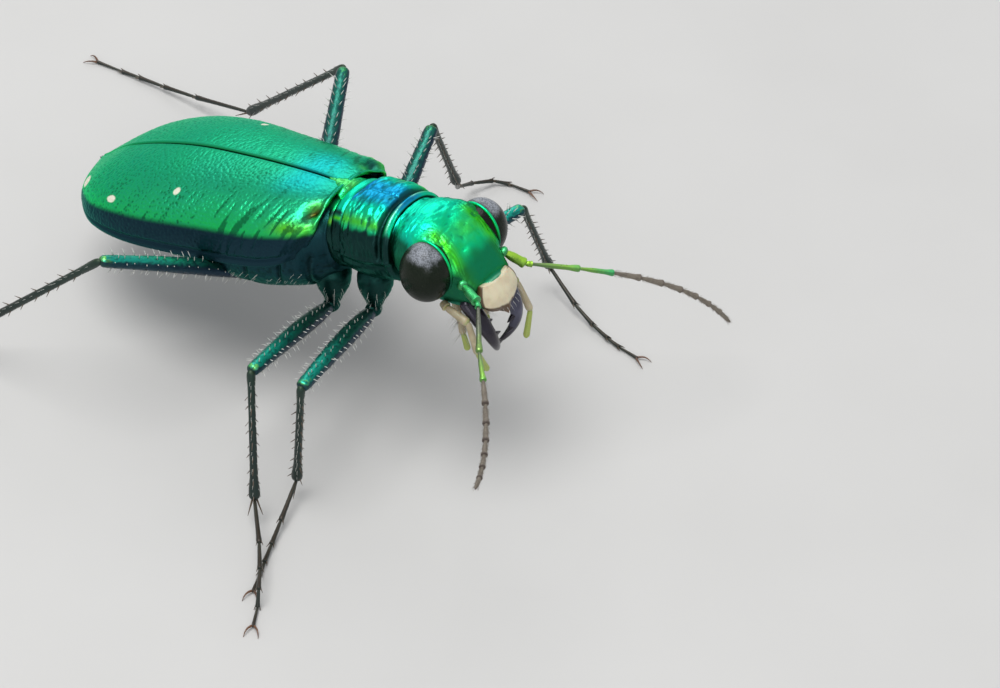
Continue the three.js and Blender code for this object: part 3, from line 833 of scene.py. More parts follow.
@dataclass
class Coat:
    """One joined mesh of fine hairs, each with its root's patch of the coat map.

    The map unrolls the skin: each field of hairs has a column, with its run from one end
    to the other up the column and its way round across it.
    """

    name: str
    columns: int
    roots: list[Array] = field(default_factory=list)
    tips: list[Array] = field(default_factory=list)
    sags: list[Array] = field(default_factory=list)
    widths: list[Array] = field(default_factory=list)
    maps: list[Array] = field(default_factory=list)

    PATCH = 0.003
    STATIONS = (0.0, 0.4, 0.75)

    def grow(self, root: Array, way: Array, length: Array, sag: Array, width: float, column: int,
             unrolled: Array) -> None:
        """Adds hairs.

        Args:
            root: the hairs' roots.
            way: the unit directions in which they start.
            length: their lengths.
            sag: how far each tip is bent off its straight line, as a vector.
            width: the radius at the root.
            column: the field's column of the map.
            unrolled: the roots' run and way round, each from 0 to 1.
        """
        self.roots.append(root)
        self.tips.append(root + way * np.reshape(length, (-1, 1)) + sag)
        self.sags.append(sag)
        self.widths.append(np.full(len(root), width))
        u = (column + 0.04 + 0.9 * unrolled[:, 1]) / self.columns
        self.maps.append(np.stack([u, 0.02 + 0.95 * unrolled[:, 0]], 1))

    def piece(self, finish: bpy.types.Material, slot: Slot) -> None:
        """Makes the coat as one object with its map.

        Args:
            finish: the hairs' material.
            slot: the record's slot it goes with.
        """
        root, tip, sag = (np.concatenate(v) for v in (self.roots, self.tips, self.sags))
        width, spot = np.concatenate(self.widths), np.concatenate(self.maps)
        count, rows = len(root), len(self.STATIONS)
        way = unit(tip - root)
        side = unit(np.cross(way, np.where(np.abs(way[:, 2:]) > 0.9, (1.0, 0, 0), (0, 0, 1.0))))
        other = np.cross(way, side)
        points = np.empty((count, 3 * rows + 1, 3))
        chart = np.empty((count, 3 * rows + 1, 2))
        share = np.empty((count, 3 * rows + 1))
        for i, t in enumerate(self.STATIONS):
            centre = root + (tip - root) * t - sag * (t - t * t)
            for j in range(3):
                angle = 2 * math.pi * j / 3
                ring = side * math.cos(angle) + other * math.sin(angle)
                points[:, 3 * i + j] = centre + ring * (width * (1 - 0.75 * t))[:, None]
                chart[:, 3 * i + j] = spot + np.array([j / 3, t]) * self.PATCH
                share[:, 3 * i + j] = t
        points[:, -1], chart[:, -1], share[:, -1] = tip, spot + self.PATCH * 0.5, 1.0
        base = (np.arange(count) * (3 * rows + 1))[:, None]
        faces = [(3 * i + j, 3 * i + (j + 1) % 3, 3 * i + 3 + (j + 1) % 3, 3 * i + 3 + j)
                 for i in range(rows - 1) for j in range(3)]
        quads = (base[:, :, None] + np.array(faces)).reshape(-1, 4)
        last = 3 * (rows - 1)
        ends = [(last + j, last + (j + 1) % 3, 3 * rows) for j in range(3)] + [(2, 1, 0)]
        caps = (base[:, :, None] + np.array(ends)).reshape(-1, 3).tolist()
        skin = Skin(points.reshape(-1, 3), quads, caps, {"along": share.ravel()})
        made = skin.piece(self.name, finish, slot)
        layer = made.data.uv_layers.new(name="OFBake")
        corner = np.empty(len(made.data.loops), int)
        made.data.loops.foreach_get("vertex_index", corner)
        layer.data.foreach_set("uv", chart.reshape(-1, 2)[corner].astype(np.float32).ravel())


ELYTRA_LENGTH = 7.9
SECTION_POWER = 2.5
ELYTRA_HALF_WIDTH: Keys = (
    (0, 1.34), (0.05, 1.66), (0.14, 1.92), (0.35, 2.16), (0.62, 2.38), (0.8, 2.16), (0.92, 1.5), (1, 0.62),
)
ELYTRA_CROWN: Keys = ((0, -0.02), (0.12, 0.06), (0.35, 0.06), (0.6, -0.08), (0.85, -0.55), (1, -1.15))
ELYTRA_MARGIN: Keys = ((0, -1.15), (0.2, -1.42), (0.6, -1.42), (0.9, -1.4), (1, -1.5))


def quarter(half_width: Array, crown: Array, margin: Array, angle: Array) -> tuple[Array, Array]:
    """A quarter of a squared oval.

    Args:
        half_width: its half-width at the margin.
        crown: its height in the middle.
        margin: its height at the margin.
        angle: 0 in the middle and a quarter turn at the margin.

    Returns:
        The distance from the middle and the height.
    """
    rise = np.abs(np.cos(angle)) ** (2 / SECTION_POWER)
    return half_width * np.abs(np.sin(angle)) ** (2 / SECTION_POWER), margin + (crown - margin) * rise


@dataclass
class Elytron:
    """One wing case: a thin domed shell with a beaded suture, a shoulder, pits and wrinkles."""

    side: Side
    rows: int = 400
    across: int = 150
    rim_steps: int = 8
    inner_steps: int = 24
    thickness: float = 0.1
    parting: float = 0.012
    pit_spacing: float = 0.095
    pit_depth: float = 0.008
    wrinkle_depth: float = 0.013
    setback: float = 0.42
    tip_start: float = 0.955
    spots: Sequence[tuple[float, float, float, float]] = (
        (0.49, 0.42, 0.013, 0.045), (0.72, 0.60, 0.022, 0.05), (0.91, 0.55, 0.022, 0.12),
    )

    def outer(self) -> tuple[Array, dict[str, Array]]:
        """The outer face.

        Returns:
            Its grid of points and the values that the finish reads there.
        """
        grain = Grain(11 + self.side.value)
        t = np.linspace(0, 1, self.rows)[:, None]
        a = np.linspace(0, 1, self.across)[None, :]
        tip = np.sqrt(1 - np.clip((t - self.tip_start) / (1 - self.tip_start), 0, 0.995) ** 2)
        width = follow(ELYTRA_HALF_WIDTH, t) * tip
        x, z = quarter(width, follow(ELYTRA_CROWN, t), follow(ELYTRA_MARGIN, t), a * np.pi / 2)
        cut_back = self.setback * np.clip((a - 0.62) / 0.38, 0, 1) ** 1.6 * (1 - t) ** 12
        grid = TRUNK.at(self.side.value * (x + self.parting), -ELYTRA_LENGTH * t - cut_back, z)
        run = ELYTRA_LENGTH * t + 0 * a
        arc = np.cumsum(np.hypot(np.diff(x, prepend=x[:, :1]), np.diff(z, prepend=z[:, :1])), 1)
        fore, lateral = 1 - step(0.12, 0.5, t), step(0.2, 0.75, a)
        slant = run - 0.35 * arc
        wrinkle = grain.soft(slant / 0.105, arc / 0.55) + 0.55 * grain.soft(slant / 0.06 + 9, arc / 0.3 + 5)
        wrinkle *= (0.2 + 1.15 * fore) * (0.2 + 0.9 * lateral)
        cells = grain.cells(run / self.pit_spacing, arc / self.pit_spacing)
        pits = -(1 - step(0.12, 0.5, cells)) * (1 - 0.45 * fore)
        plain = step(0.0, 0.03, a) * (1 - step(0.93, 0.97, a))
        suture_bead = 0.012 * bump(arc, 0.05, 0.03) - 0.04 * bump(arc, 0.0, 0.016)
        side_groove = 0.04 * bump(a, 0.955, 0.018) * step(0.05, 0.1, t)
        shoulder = 0.09 * bump(t, 0.055, 0.045) * bump(a, 0.66, 0.14)
        base_hollow = 0.13 * bump(t, 0.026, 0.024) * bump(a, 0.43, 0.11)
        base_rim = 0.05 * bump(t, 0.006, 0.007) * plain
        height = plain * (self.wrinkle_depth * wrinkle + self.pit_depth * pits)
        height = height + suture_bead - side_groove + shoulder - base_hollow + base_rim
        grid = grid + outward(grid, False) * height[..., None]
        uneven = 0.35 * grain.soft(run / 0.9 + 3, arc / 0.7 + 2)
        spot = sum(
            step(1.0, 0.72, np.hypot((t - middle) / long, (a - off) / wide) + 0.25 * uneven)
            for middle, off, long, wide in self.spots
        )
        # Painted blue sheen near the base, beside the suture.
        azure = bump(t, 0.12 + 0.03 * uneven, 0.085) * (1 - step(0.10, 0.34, a + 0.08 * uneven))
        # Painted highlight: yellow-green patches on the shoulder and near the base.
        shoulder_highlight = 1.1 * bump(t, 0.065, 0.055) * bump(a + 0.04 * uneven, 0.635, 0.075)
        base_highlight = 0.55 * bump(t, 0.03, 0.02) * bump(a, 0.33, 0.08)
        # Painted shade: the steep outer flank and a narrow seam along the suture take the dark under colour.
        flank = step(0.69, 0.77, a + 0.02 * uneven)
        dark = np.maximum(flank, 0.9 * (1 - step(0.006, 0.022, arc)))
        values = {
            "relief": np.clip(2.1 * wrinkle + 0.7 * pits + 0.18, -1, 1) * plain,
            "azure": 0.85 * azure, "spot": np.clip(spot, 0, 1),
            "lime": np.clip(0.95 * (shoulder_highlight + base_highlight), 0, 1),
        }
        # Painted shade in the left elytron's basal hollow; the right one's hollow gets a painted bronze reflection
        # instead.
        if self.side is Side.LEFT:
            dark = np.maximum(dark, 0.85 * bump(t, 0.04, 0.03) * bump(a, 0.50, 0.13))
        else:
            values["bronze"] = 1.05 * bump(t, 0.022, 0.017) * bump(a, 0.43, 0.09)
        values["dark"] = np.clip(dark, 0, 1)
        return grid, values

    def skin(self) -> Skin:
        """The whole shell: outer face, rounded margin and inner face."""
        grid, values = self.outer()
        normal = outward(grid, False)
        edge_way = unit(grid[:, -1] - grid[:, -4])
        turns = np.linspace(0, np.pi, self.rim_steps + 2)[1:-1]
        half = self.thickness / 2
        centre = grid[:, -1] - normal[:, -1] * half
        rim = [centre + half * (np.cos(w) * normal[:, -1] + 0.8 * np.sin(w) * edge_way) for w in turns]
        picked = np.linspace(self.across - 1, 0, self.inner_steps).round().astype(int)
        inner = grid[:, picked] - normal[:, picked] * self.thickness
        ring = np.concatenate([grid, np.stack(rim, 1), inner], 1)
        added = ring.shape[1] - self.across
        return Skin.rings(ring, **padded(values, (self.rows, self.across), 1, (0, added)))

    def build(self, finishes: Finishes) -> None:
        """Makes the piece."""
        word = self.side.word
        self.skin().piece(f"wing_case_{word}", finishes["elytron"], Slot.GREEN, f"elytron_{word}")


@dataclass
class Scutellum:
    """The small shield between the bases of the elytra, pointed to the rear."""

    length: float = 0.66
    half_width: float = 0.44
    front: float = 0.14
    thick: float = 0.3
    rows: int = 60
    across: int = 60

    def build(self, finishes: Finishes) -> None:
        """Makes the piece."""
        grain = Grain(31)
        t = np.linspace(0, 1, self.rows)[:, None]
        u = np.linspace(-1, 1, self.across)[None, :]
        half = self.half_width * (1 - t) ** 0.75 + 0.015
        forward = self.front - t * self.length
        top = follow(ELYTRA_CROWN, np.maximum(0, -forward) / ELYTRA_LENGTH) + 0.07 - 0.07 * t
        crown = top - 0.11 * u**2 - 0.03 * bump(u, 0, 0.25) * (1 - t) - 0.04 * step(0.15, 0.0, t)
        rough = grain.soft(forward / 0.06 + 20, u * half / 0.06 + 20)
        upper = TRUNK.at(u * half, forward + 0 * u, crown + 0.008 * rough)
        lower = TRUNK.at(u[:, ::-1] * half * 0.92, forward + 0 * u, crown[:, ::-1] - self.thick)
        ring = np.concatenate([upper, lower], 1)
        # The lower face is marked as deep pit, so it takes painted shade; a painted yellow-green highlight runs down
        # the middle of the top.
        relief = np.concatenate([rough + 0.2, 0 * rough - 1], 1)
        lime = np.concatenate([bump(u, 0, 0.5) * 0.4 + 0 * t, 0 * rough], 1)
        skin = Skin.rings(ring, relief=relief, lime=lime)
        skin.piece("scutellum_shield", finishes["collar"], Slot.BLUE_GREEN, "scutellum")


@dataclass
class Pronotum:
    """The prothorax: a barrel with rims, cross grooves, a fine middle line and wrinkles."""

    rear: float = 0.14
    length: float = 1.66
    half_width: float = 1.16
    up: float = -0.95
    height: float = 1.0
    depth: float = 1.05
    barrel: Keys = ((0, 0.86), (0.1, 0.9), (0.2, 0.96), (0.5, 1), (0.78, 0.97), (0.88, 0.93), (1, 0.88))
    end_rings: Keys = ((0.97, -0.4), (0.9, 0.3), (0.6, 2), (0.3, 3))
    end_step: float = 0.03
    rows: int = 170
    around: int = 300

    def build(self, finishes: Finishes) -> None:
        """Makes the piece."""
        grain = Grain(41)
        t = np.linspace(0, 1, self.rows)[:, None]
        angle = circle(self.around)[None, :]
        c, s = power(np.cos(angle), 0.9), power(np.sin(angle), 0.9)
        swell = follow(self.barrel, t)
        tall = np.where(s > 0, self.height, self.depth) * swell
        forward = self.rear + t * self.length + 0.10 * (1 - s.clip(0)) * step(0.6, 1, t) * s.clip(0)
        grid = TRUNK.at(self.half_width * swell * c, forward, self.up + tall * s)
        upper, out = step(-0.25, 0.15, s), np.abs(c)
        run, cells = t * self.length, angle / (2 * np.pi) * 60
        wrinkle = grain.soft(run / 0.085, cells / 2, 30) + 0.6 * grain.soft(run / 0.05 + 7, cells, 60)
        disc = step(0.17, 0.24, t) * (1 - step(0.80, 0.86, t))
        rough_skin = 0.016 * wrinkle * (0.35 + 0.65 * upper) * (0.3 + 0.7 * disc)
        cross_grooves = (0.07 * bump(t, 0.165, 0.03) + 0.085 * bump(t, 0.86, 0.04)) * upper
        rims = 0.035 * bump(t, 0.045, 0.05) + 0.04 * bump(t, 0.95, 0.035)
        middle_line = 0.03 * bump(c, 0, 0.03) * step(0.2, 0.6, s) * disc
        rear_lobes = 0.05 * bump(t, 0.33, 0.16) * bump(out, 0.55, 0.3) * upper
        front_lobes = 0.05 * bump(t, 0.66, 0.14) * bump(out, 0.5, 0.3) * upper
        waist = 0.02 * bump(t, 0.5, 0.05) * bump(out, 0.35, 0.4) * upper
        side_edge = 0.03 * bump(s, -0.12, 0.05) - 0.03 * bump(s, -0.26, 0.06)
        height = rough_skin - cross_grooves + rims - middle_line + rear_lobes + front_lobes - waist + side_edge
        grid = grid + outward(grid, True) * height[..., None]
        # Painted blue sheen along the top.
        top = 0.8 * step(0.90, 1.0, s) + 0.6 * bump(t, 0.22, 0.04) * step(0.85, 0.97, s)
        # Painted shade in the two cross grooves.
        groove = np.maximum(bump(t, 0.175, 0.03), bump(t, 0.86, 0.05)) * upper
        # Painted shade on the lower sides and on the rear band, except its top plate and notch.
        rear = 1 - step(0.135, 0.16, t)
        plate = rear * step(0.76, 0.84, s)
        notch = rear * bump(s, 0.66, 0.05)
        flank = (1 - step(0.50, 0.62, s + 0.04 * wrinkle)) * (1 - notch)
        flank = np.maximum(flank, rear * (1 - np.maximum(plate, notch)))
        values = {
            "relief": np.clip(1.1 * wrinkle * (0.4 + 0.6 * disc) + 0.15 - 1.2 * groove, -1, 1),
            "azure": np.clip(top, 0, 1) * step(0.14, 0.2, t),
            # Painted yellow-green highlight along the upper sides of the disc and on the rear notch.
            "lime": np.clip(bump(s, 0.69, 0.09) * disc * 0.85 + notch, 0, 1),
            "dark": np.clip(np.maximum(flank, 0.9 * groove), 0, 1),
            # Painted highlight: a pale line along the front rim.
            "rim": 0.75 * bump(t, 0.945, 0.014) * step(0.55, 0.75, s) * (1 - step(0.985, 1.0, s)),
        }
        ends = []
        for edge, way in ((0, -1), (-1, 1)):
            middle = grid[edge].mean(0)
            inset = TRUNK.way(0, way * self.end_step, 0)
            ends.append([middle + (grid[edge] - middle) * share - inset * deep for share, deep in self.end_rings])
        rings = np.concatenate([np.stack(ends[0][::-1]), grid, np.stack(ends[1])])
        added = len(self.end_rings)
        shell = Skin.rings(rings, **padded(values, (self.rows, self.around), 0, (added, added)))
        shell.piece("pronotum_shell", finishes["pronotum"], Slot.BLUE_GREEN, "pronotum")


@dataclass
class Trunk:
    """Thorax with its side plates and abdomen with its belly plates."""

    thorax: tuple[float, float] = (-0.06, 2.9)
    abdomen: tuple[float, float] = (2.9, 7.62)
    depth: Keys = (
        (-0.04, -1.75), (0, -2.05), (0.08, -2.4), (0.3, -2.45), (0.5, -2.3), (0.75, -2.1), (0.9, -1.85), (0.96, -1.6),
    )
    width: Keys = (
        (-0.04, 1.0), (0, 1.3), (0.1, 1.72), (0.3, 1.96), (0.6, 1.9), (0.8, 1.66), (0.9, 1.24), (0.96, 0.66),
    )
    plates: Sequence[float] = (3.62, 4.36, 5.10, 5.84, 6.56, 7.2)
    inset: float = 0.16
    cover: int = 30
    below: int = 220

    def surface(self, behind: Array) -> tuple[Array, Array, Array]:
        """The trunk's skin at some distances behind the elytral base.

        Args:
            behind: distances, one to a ring.

        Returns:
            The rings, the run along them and the way round from -1 to 1 over the belly.
        """
        t = behind[:, None] / ELYTRA_LENGTH
        half = np.maximum(follow(ELYTRA_HALF_WIDTH, t.clip(0)) - self.inset, 0.3) * np.where(t < 0, 1 + 3 * t, 1)
        crown = follow(ELYTRA_CROWN, t.clip(0)) - self.inset - 0.4 * np.clip(-t, 0, 1) * 4
        margin = follow(ELYTRA_MARGIN, t.clip(0)) - 0.02
        over = np.linspace(-1, 1, self.cover)[None, :]
        x, z = quarter(half, crown, margin, np.abs(over) * np.pi / 2)
        upper = TRUNK.at(np.sign(over) * x, -behind[:, None] + 0 * over, z)
        under = np.linspace(1, -1, self.below)[None, :]
        belly_half = np.minimum(follow(self.width, t), half)
        x, z = quarter(belly_half, follow(self.depth, t), margin - 0.02, np.abs(under) * np.pi / 2)
        lower = TRUNK.at(np.sign(under) * x, -behind[:, None] + 0 * under, z)
        return np.concatenate([upper, lower], 1), behind[:, None], under

    def piece(self, behind: Array, relief: Callable[[Array, Array], tuple[Array, dict[str, Array]]]) -> Skin:
        """A stretch of the trunk.

        Args:
            behind: distances behind the elytral base, one to a ring.
            relief: gives heights and values from the run and the way round.

        Returns:
            The closed stretch.
        """
        grid, run, under = self.surface(behind)
        height, values = relief(run, under)
        shape = (len(behind), self.below)
        normal = outward(grid, True)
        grid[:, self.cover:] += normal[:, self.cover:] * np.broadcast_to(height, shape)[..., None]
        return Skin.rings(grid, **padded(values, shape, 1, (self.cover, 0)))

    def collar(self) -> Skin:
        """The ring of the middle thorax that shows between pronotum and wing cases."""
        grain = Grain(53)
        t = np.linspace(0, 1, 60)[:, None]
        angle = circle(200)[None, :]
        c, s = power(np.cos(angle), 0.9), power(np.sin(angle), 0.9)
        arch = np.sin(np.pi * (0.1 + 0.85 * t)) ** 0.5
        forward = 0.30 - 0.62 * t + 0 * c
        rough = grain.soft(t * 8, angle / (2 * np.pi) * 40, 40)
        swell = 0.84 + 0.14 * arch + 0.006 * rough
        up = -1.0 + np.where(s > 0, 0.90, 1.0) * s * swell
        grid = TRUNK.at(1.10 * swell * c, forward, up)
        # Painted highlight: a yellow-green patch high on the collar.
        blob = bump(s, 0.62, 0.07)
        # Painted shade: all of the collar but its top and the patch takes the dark colour.
        dark = np.clip(1 - step(0.78, 0.86, s) - blob, 0, 1) + 0 * t
        return Skin.rings(grid, relief=rough + 0.3, dark=dark, lime=0.9 * blob + 0 * t)

    def build(self, finishes: Finishes) -> None:
        """Makes the pieces."""
        grain = Grain(57)

        def sides(run: Array, way: Array) -> tuple[Array, dict[str, Array]]:
            """Grooves between the side plates, a raised rear breast and fine grain."""
            slant = run + 0.5 * np.abs(way)
            grooves = sum(bump(slant, at, 0.045) for at in (0.75, 1.45, 2.35)) * step(0.2, 0.45, np.abs(way))
            middle = bump(way, 0, 0.02) * step(0.9, 1.3, run)
            rough = grain.soft(run / 0.08 + 30, way * 26 + 30)
            swell = 0.08 * bump(run, 1.9, 0.7) * bump(np.abs(way), 0.45, 0.25)
            height = swell - 0.05 * grooves - 0.04 * middle + 0.006 * rough
            return height, {"relief": rough - 1.2 * grooves - middle}

        def belly(run: Array, way: Array) -> tuple[Array, dict[str, Array]]:
            """Overlapping plates that step down toward the tip."""
            height = edge = 0 * run * way
            begin = self.abdomen[0]
            for end in self.plates:
                inside = (run >= begin) & (run < end)
                share = np.where(inside, (run - begin) / (end - begin), 0)
                height = height + np.where(inside, 0.055 * share**2, 0)
                edge = np.maximum(edge, bump(run, end, 0.035) + 0 * way)
                begin = end
            rough = grain.soft(run / 0.07 + 12, way * 30 + 30)
            # A faint painted blue sheen down the middle of the belly.
            values = {"relief": 0.5 * rough - edge + 0.2, "azure": 0.1 * bump(way, 0, 0.5) + 0 * run}
            return height - 0.05 * edge + 0.003 * rough, values

        front = self.piece(np.linspace(*self.thorax, 150), sides)
        rear = self.piece(np.linspace(*self.abdomen, 230), belly)
        front.piece("breast_plates", finishes["underside"], Slot.UNDERSIDE, "thorax")
        self.collar().piece("mesothorax_collar", finishes["collar"], Slot.BLUE_GREEN)
        rear.piece("belly_plates", finishes["underside"], Slot.UNDERSIDE, "abdomen")


@dataclass
class Head:
    """Head capsule with orbital ridges, striped brow, frons and upper-lip base."""

    length: float = 2.42
    eye_up: float = -0.24
    half_width: Keys = ((0.1, 0.88), (0.35, 1.04), (1, 1.08), (1.6, 0.94), (2, 0.76), (2.42, 0.58))
    top: Keys = ((0.1, 0.5), (0.5, 0.62), (1.1, 0.6), (1.6, 0.32), (2.0, -0.14), (2.42, -0.62))
    low: Keys = ((0.1, -0.8), (0.5, -1.12), (1.1, -1.32), (1.8, -1.32), (2.42, -1.05))
    rows: int = 260
    around: int = 340

    def build(self, finishes: Finishes) -> None:
        """Makes the capsule."""
        grain = Grain(61)
        share = np.linspace(0, 1, self.rows)[:, None]
        forward = 0.02 + (self.length - 0.02) * np.sin(np.pi / 2 * share)
        angle = circle(self.around)[None, :]
        c, s = power(np.cos(angle), 0.85), power(np.sin(angle), 0.85)
        half, top, low = (follow(keys, forward) for keys in (self.half_width, self.top, self.low))
        level = self.eye_up + (top - 0.6) * 0.6
        x = half * c
        off = np.abs(x)
        grid = HEAD.at(x, forward + 0 * c, level + np.where(s > 0, top - level, level - low) * s)
        upper = step(-0.05, 0.3, s)
        brow = upper * step(0.45, 0.8, forward) * (1 - step(1.75, 2.05, forward))
        near_eye = bump(off, 0.62, 0.2) * brow
        stripes = np.sin(2 * np.pi * (off / 0.075 + 0.9 * grain.soft(forward / 0.28, x / 0.2 + 32)))
        rough = grain.soft(forward / 0.055, angle / (2 * np.pi) * 62, 62)
        blotch = grain.soft(forward / 0.14 + 7, angle / (2 * np.pi) * 30, 30)
        frons = upper * step(1.5, 1.8, forward)
        ridges = 0.004 * stripes * near_eye
        rough_skin = 0.006 * rough * (upper * (1 - 0.6 * frons) + 0.25)
        brow_dents = 0.024 * blotch * brow
        crown_hollow = 0.10 * bump(x, 0, 0.42) * upper * bump(forward, 1.15, 0.38)
        eye_ridges = 0.07 * bump(off, 0.80, 0.10) * upper * bump(forward, 1.12, 0.42)
        frons_hollows = 0.05 * bump(off, 0.36, 0.13) * upper * bump(forward, 1.72, 0.2)
        lip_groove = 0.045 * bump(forward, 2.26, 0.045) * upper
        front_rim = 0.03 * bump(forward, 2.36, 0.05) * upper
        feeler_pits = 0.05 * bump(off, 0.80, 0.11) * bump(forward, 1.95, 0.13) * step(-0.4, 0.3, s)
        neck = upper * (1 - step(0.4, 0.6, forward))
        neck_lines = 0.004 * np.sin(2 * np.pi * forward / 0.07 + 2 * rough) * neck
        height = ridges + rough_skin + brow_dents - crown_hollow + eye_ridges - frons_hollows
        height = height - lip_groove + front_rim - feeler_pits + neck_lines
        grid = grid + outward(grid, True) * height[..., None]
        mottle = (0.6 * rough + 0.9 * blotch) * (1 - 0.5 * frons)
        # Painted highlight: yellow-green on the brow beside the eyes and on the frons.
        brow_highlight = 0.95 * bump(off, 0.62, 0.17) * step(0.75, 1.15, forward) * upper
        frons_highlight = 0.6 * bump(forward, 1.42, 0.22) * bump(x, 0.15, 0.45) * upper
        # Painted shade: the lower head, rising toward the neck, the front of the head and the upper left side toward
        # the rear take the dark colour.
        cheek = 1 - step(0.32, 0.66, s + 0.05 * blotch - 0.20 * (1 - step(0.3, 0.8, forward)))
        muzzle = 0.8 * step(1.68, 1.95, forward + 0.06 * blotch)
        left_temple = 0.8 * step(0.92, 0.78, s) * step(0.2, 0.4, x) * (1 - step(1.2, 1.5, forward))
        values = {
            "relief": np.clip(0.3 * stripes * near_eye + mottle + 0.3, -1, 1),
            # Painted blue sheen over the rear of the top.
            "azure": (0.85 - 0.85 * step(0.5, 1.2, forward + 0.15 * blotch)) * upper,
            "lime": np.clip(brow_highlight + frons_highlight + 0.1 * rough, 0, 1),
            "dark": np.clip(cheek + muzzle + left_temple, 0, 1) * 0.95,
            # Painted highlight: a pale line along the front rim.
            "rim": 0.6 * bump(forward, 2.31, 0.018) * step(0.5, 0.8, s) * step(-0.55, -0.15, -x),
        }
        Skin.rings(grid, **values).piece("head_capsule", finishes["head"], Slot.GREEN, "head")
        for side in Side:
            Eye(side).build(finishes)


@dataclass
class Eye:
    """One large bulging compound eye in its rim."""

    side: Side
    left: float = 1.0
    forward: float = 1.16
    up: float = -0.24
    radii: Place = (0.58, 0.6, 0.72)
    rows: int = 110
    around: int = 150
    rim_at: float = -0.22
    rim_radius: float = 0.035
    rim_steps: int = 120
    rim_sides: int = 12

    def build(self, finishes: Finishes) -> None:
        """Makes the eye and the ring that it sits in."""
        polar = np.pi * np.linspace(0.02, 0.98, self.rows)[:, None]
        angle = circle(self.around)[None, :]
        sign = self.side.value
        out = np.cos(polar) + 0 * angle
        grid = HEAD.at(
            sign * (self.left + self.radii[0] * out),
            self.forward + self.radii[1] * np.sin(polar) * np.cos(angle),
            self.up + self.radii[2] * np.sin(polar) * np.sin(angle),
        )
        word = self.side.word
        rim = step(0.05, -0.25, out)
        Skin.rings(grid, rim=rim).piece(f"compound_eye_{word}", finishes["eye"], Slot.EYE, f"eye_{word}")
        turns = np.linspace(0, 2 * np.pi, self.rim_steps, endpoint=False)
        across = math.sqrt(1 - self.rim_at**2) * 1.015
        line = HEAD.at(
            sign * (self.left + self.radii[0] * self.rim_at) + 0 * turns,
            self.forward + self.radii[1] * across * np.cos(turns),
            self.up + self.radii[2] * across * np.sin(turns),
        )
        out, aside = unit(line - line.mean(0)), HEAD.way(sign, 0, 0)
        radial = [np.cos(w) * out + np.sin(w) * aside for w in circle(self.rim_sides)]
        ring = np.stack([line + self.rim_radius * way for way in radial], 1)
        # Painted shade: the lower half of the ring round the eye takes the dark colour.
        low = step(0.55, -0.1, np.sin(np.append(turns, 0.0)))[:, None]
        orbit = Skin.loop(ring, relief=np.full((1, 1), 0.4), dark=low)
        orbit.piece(f"eye_rim_{word}", finishes["head"], Slot.GREEN)


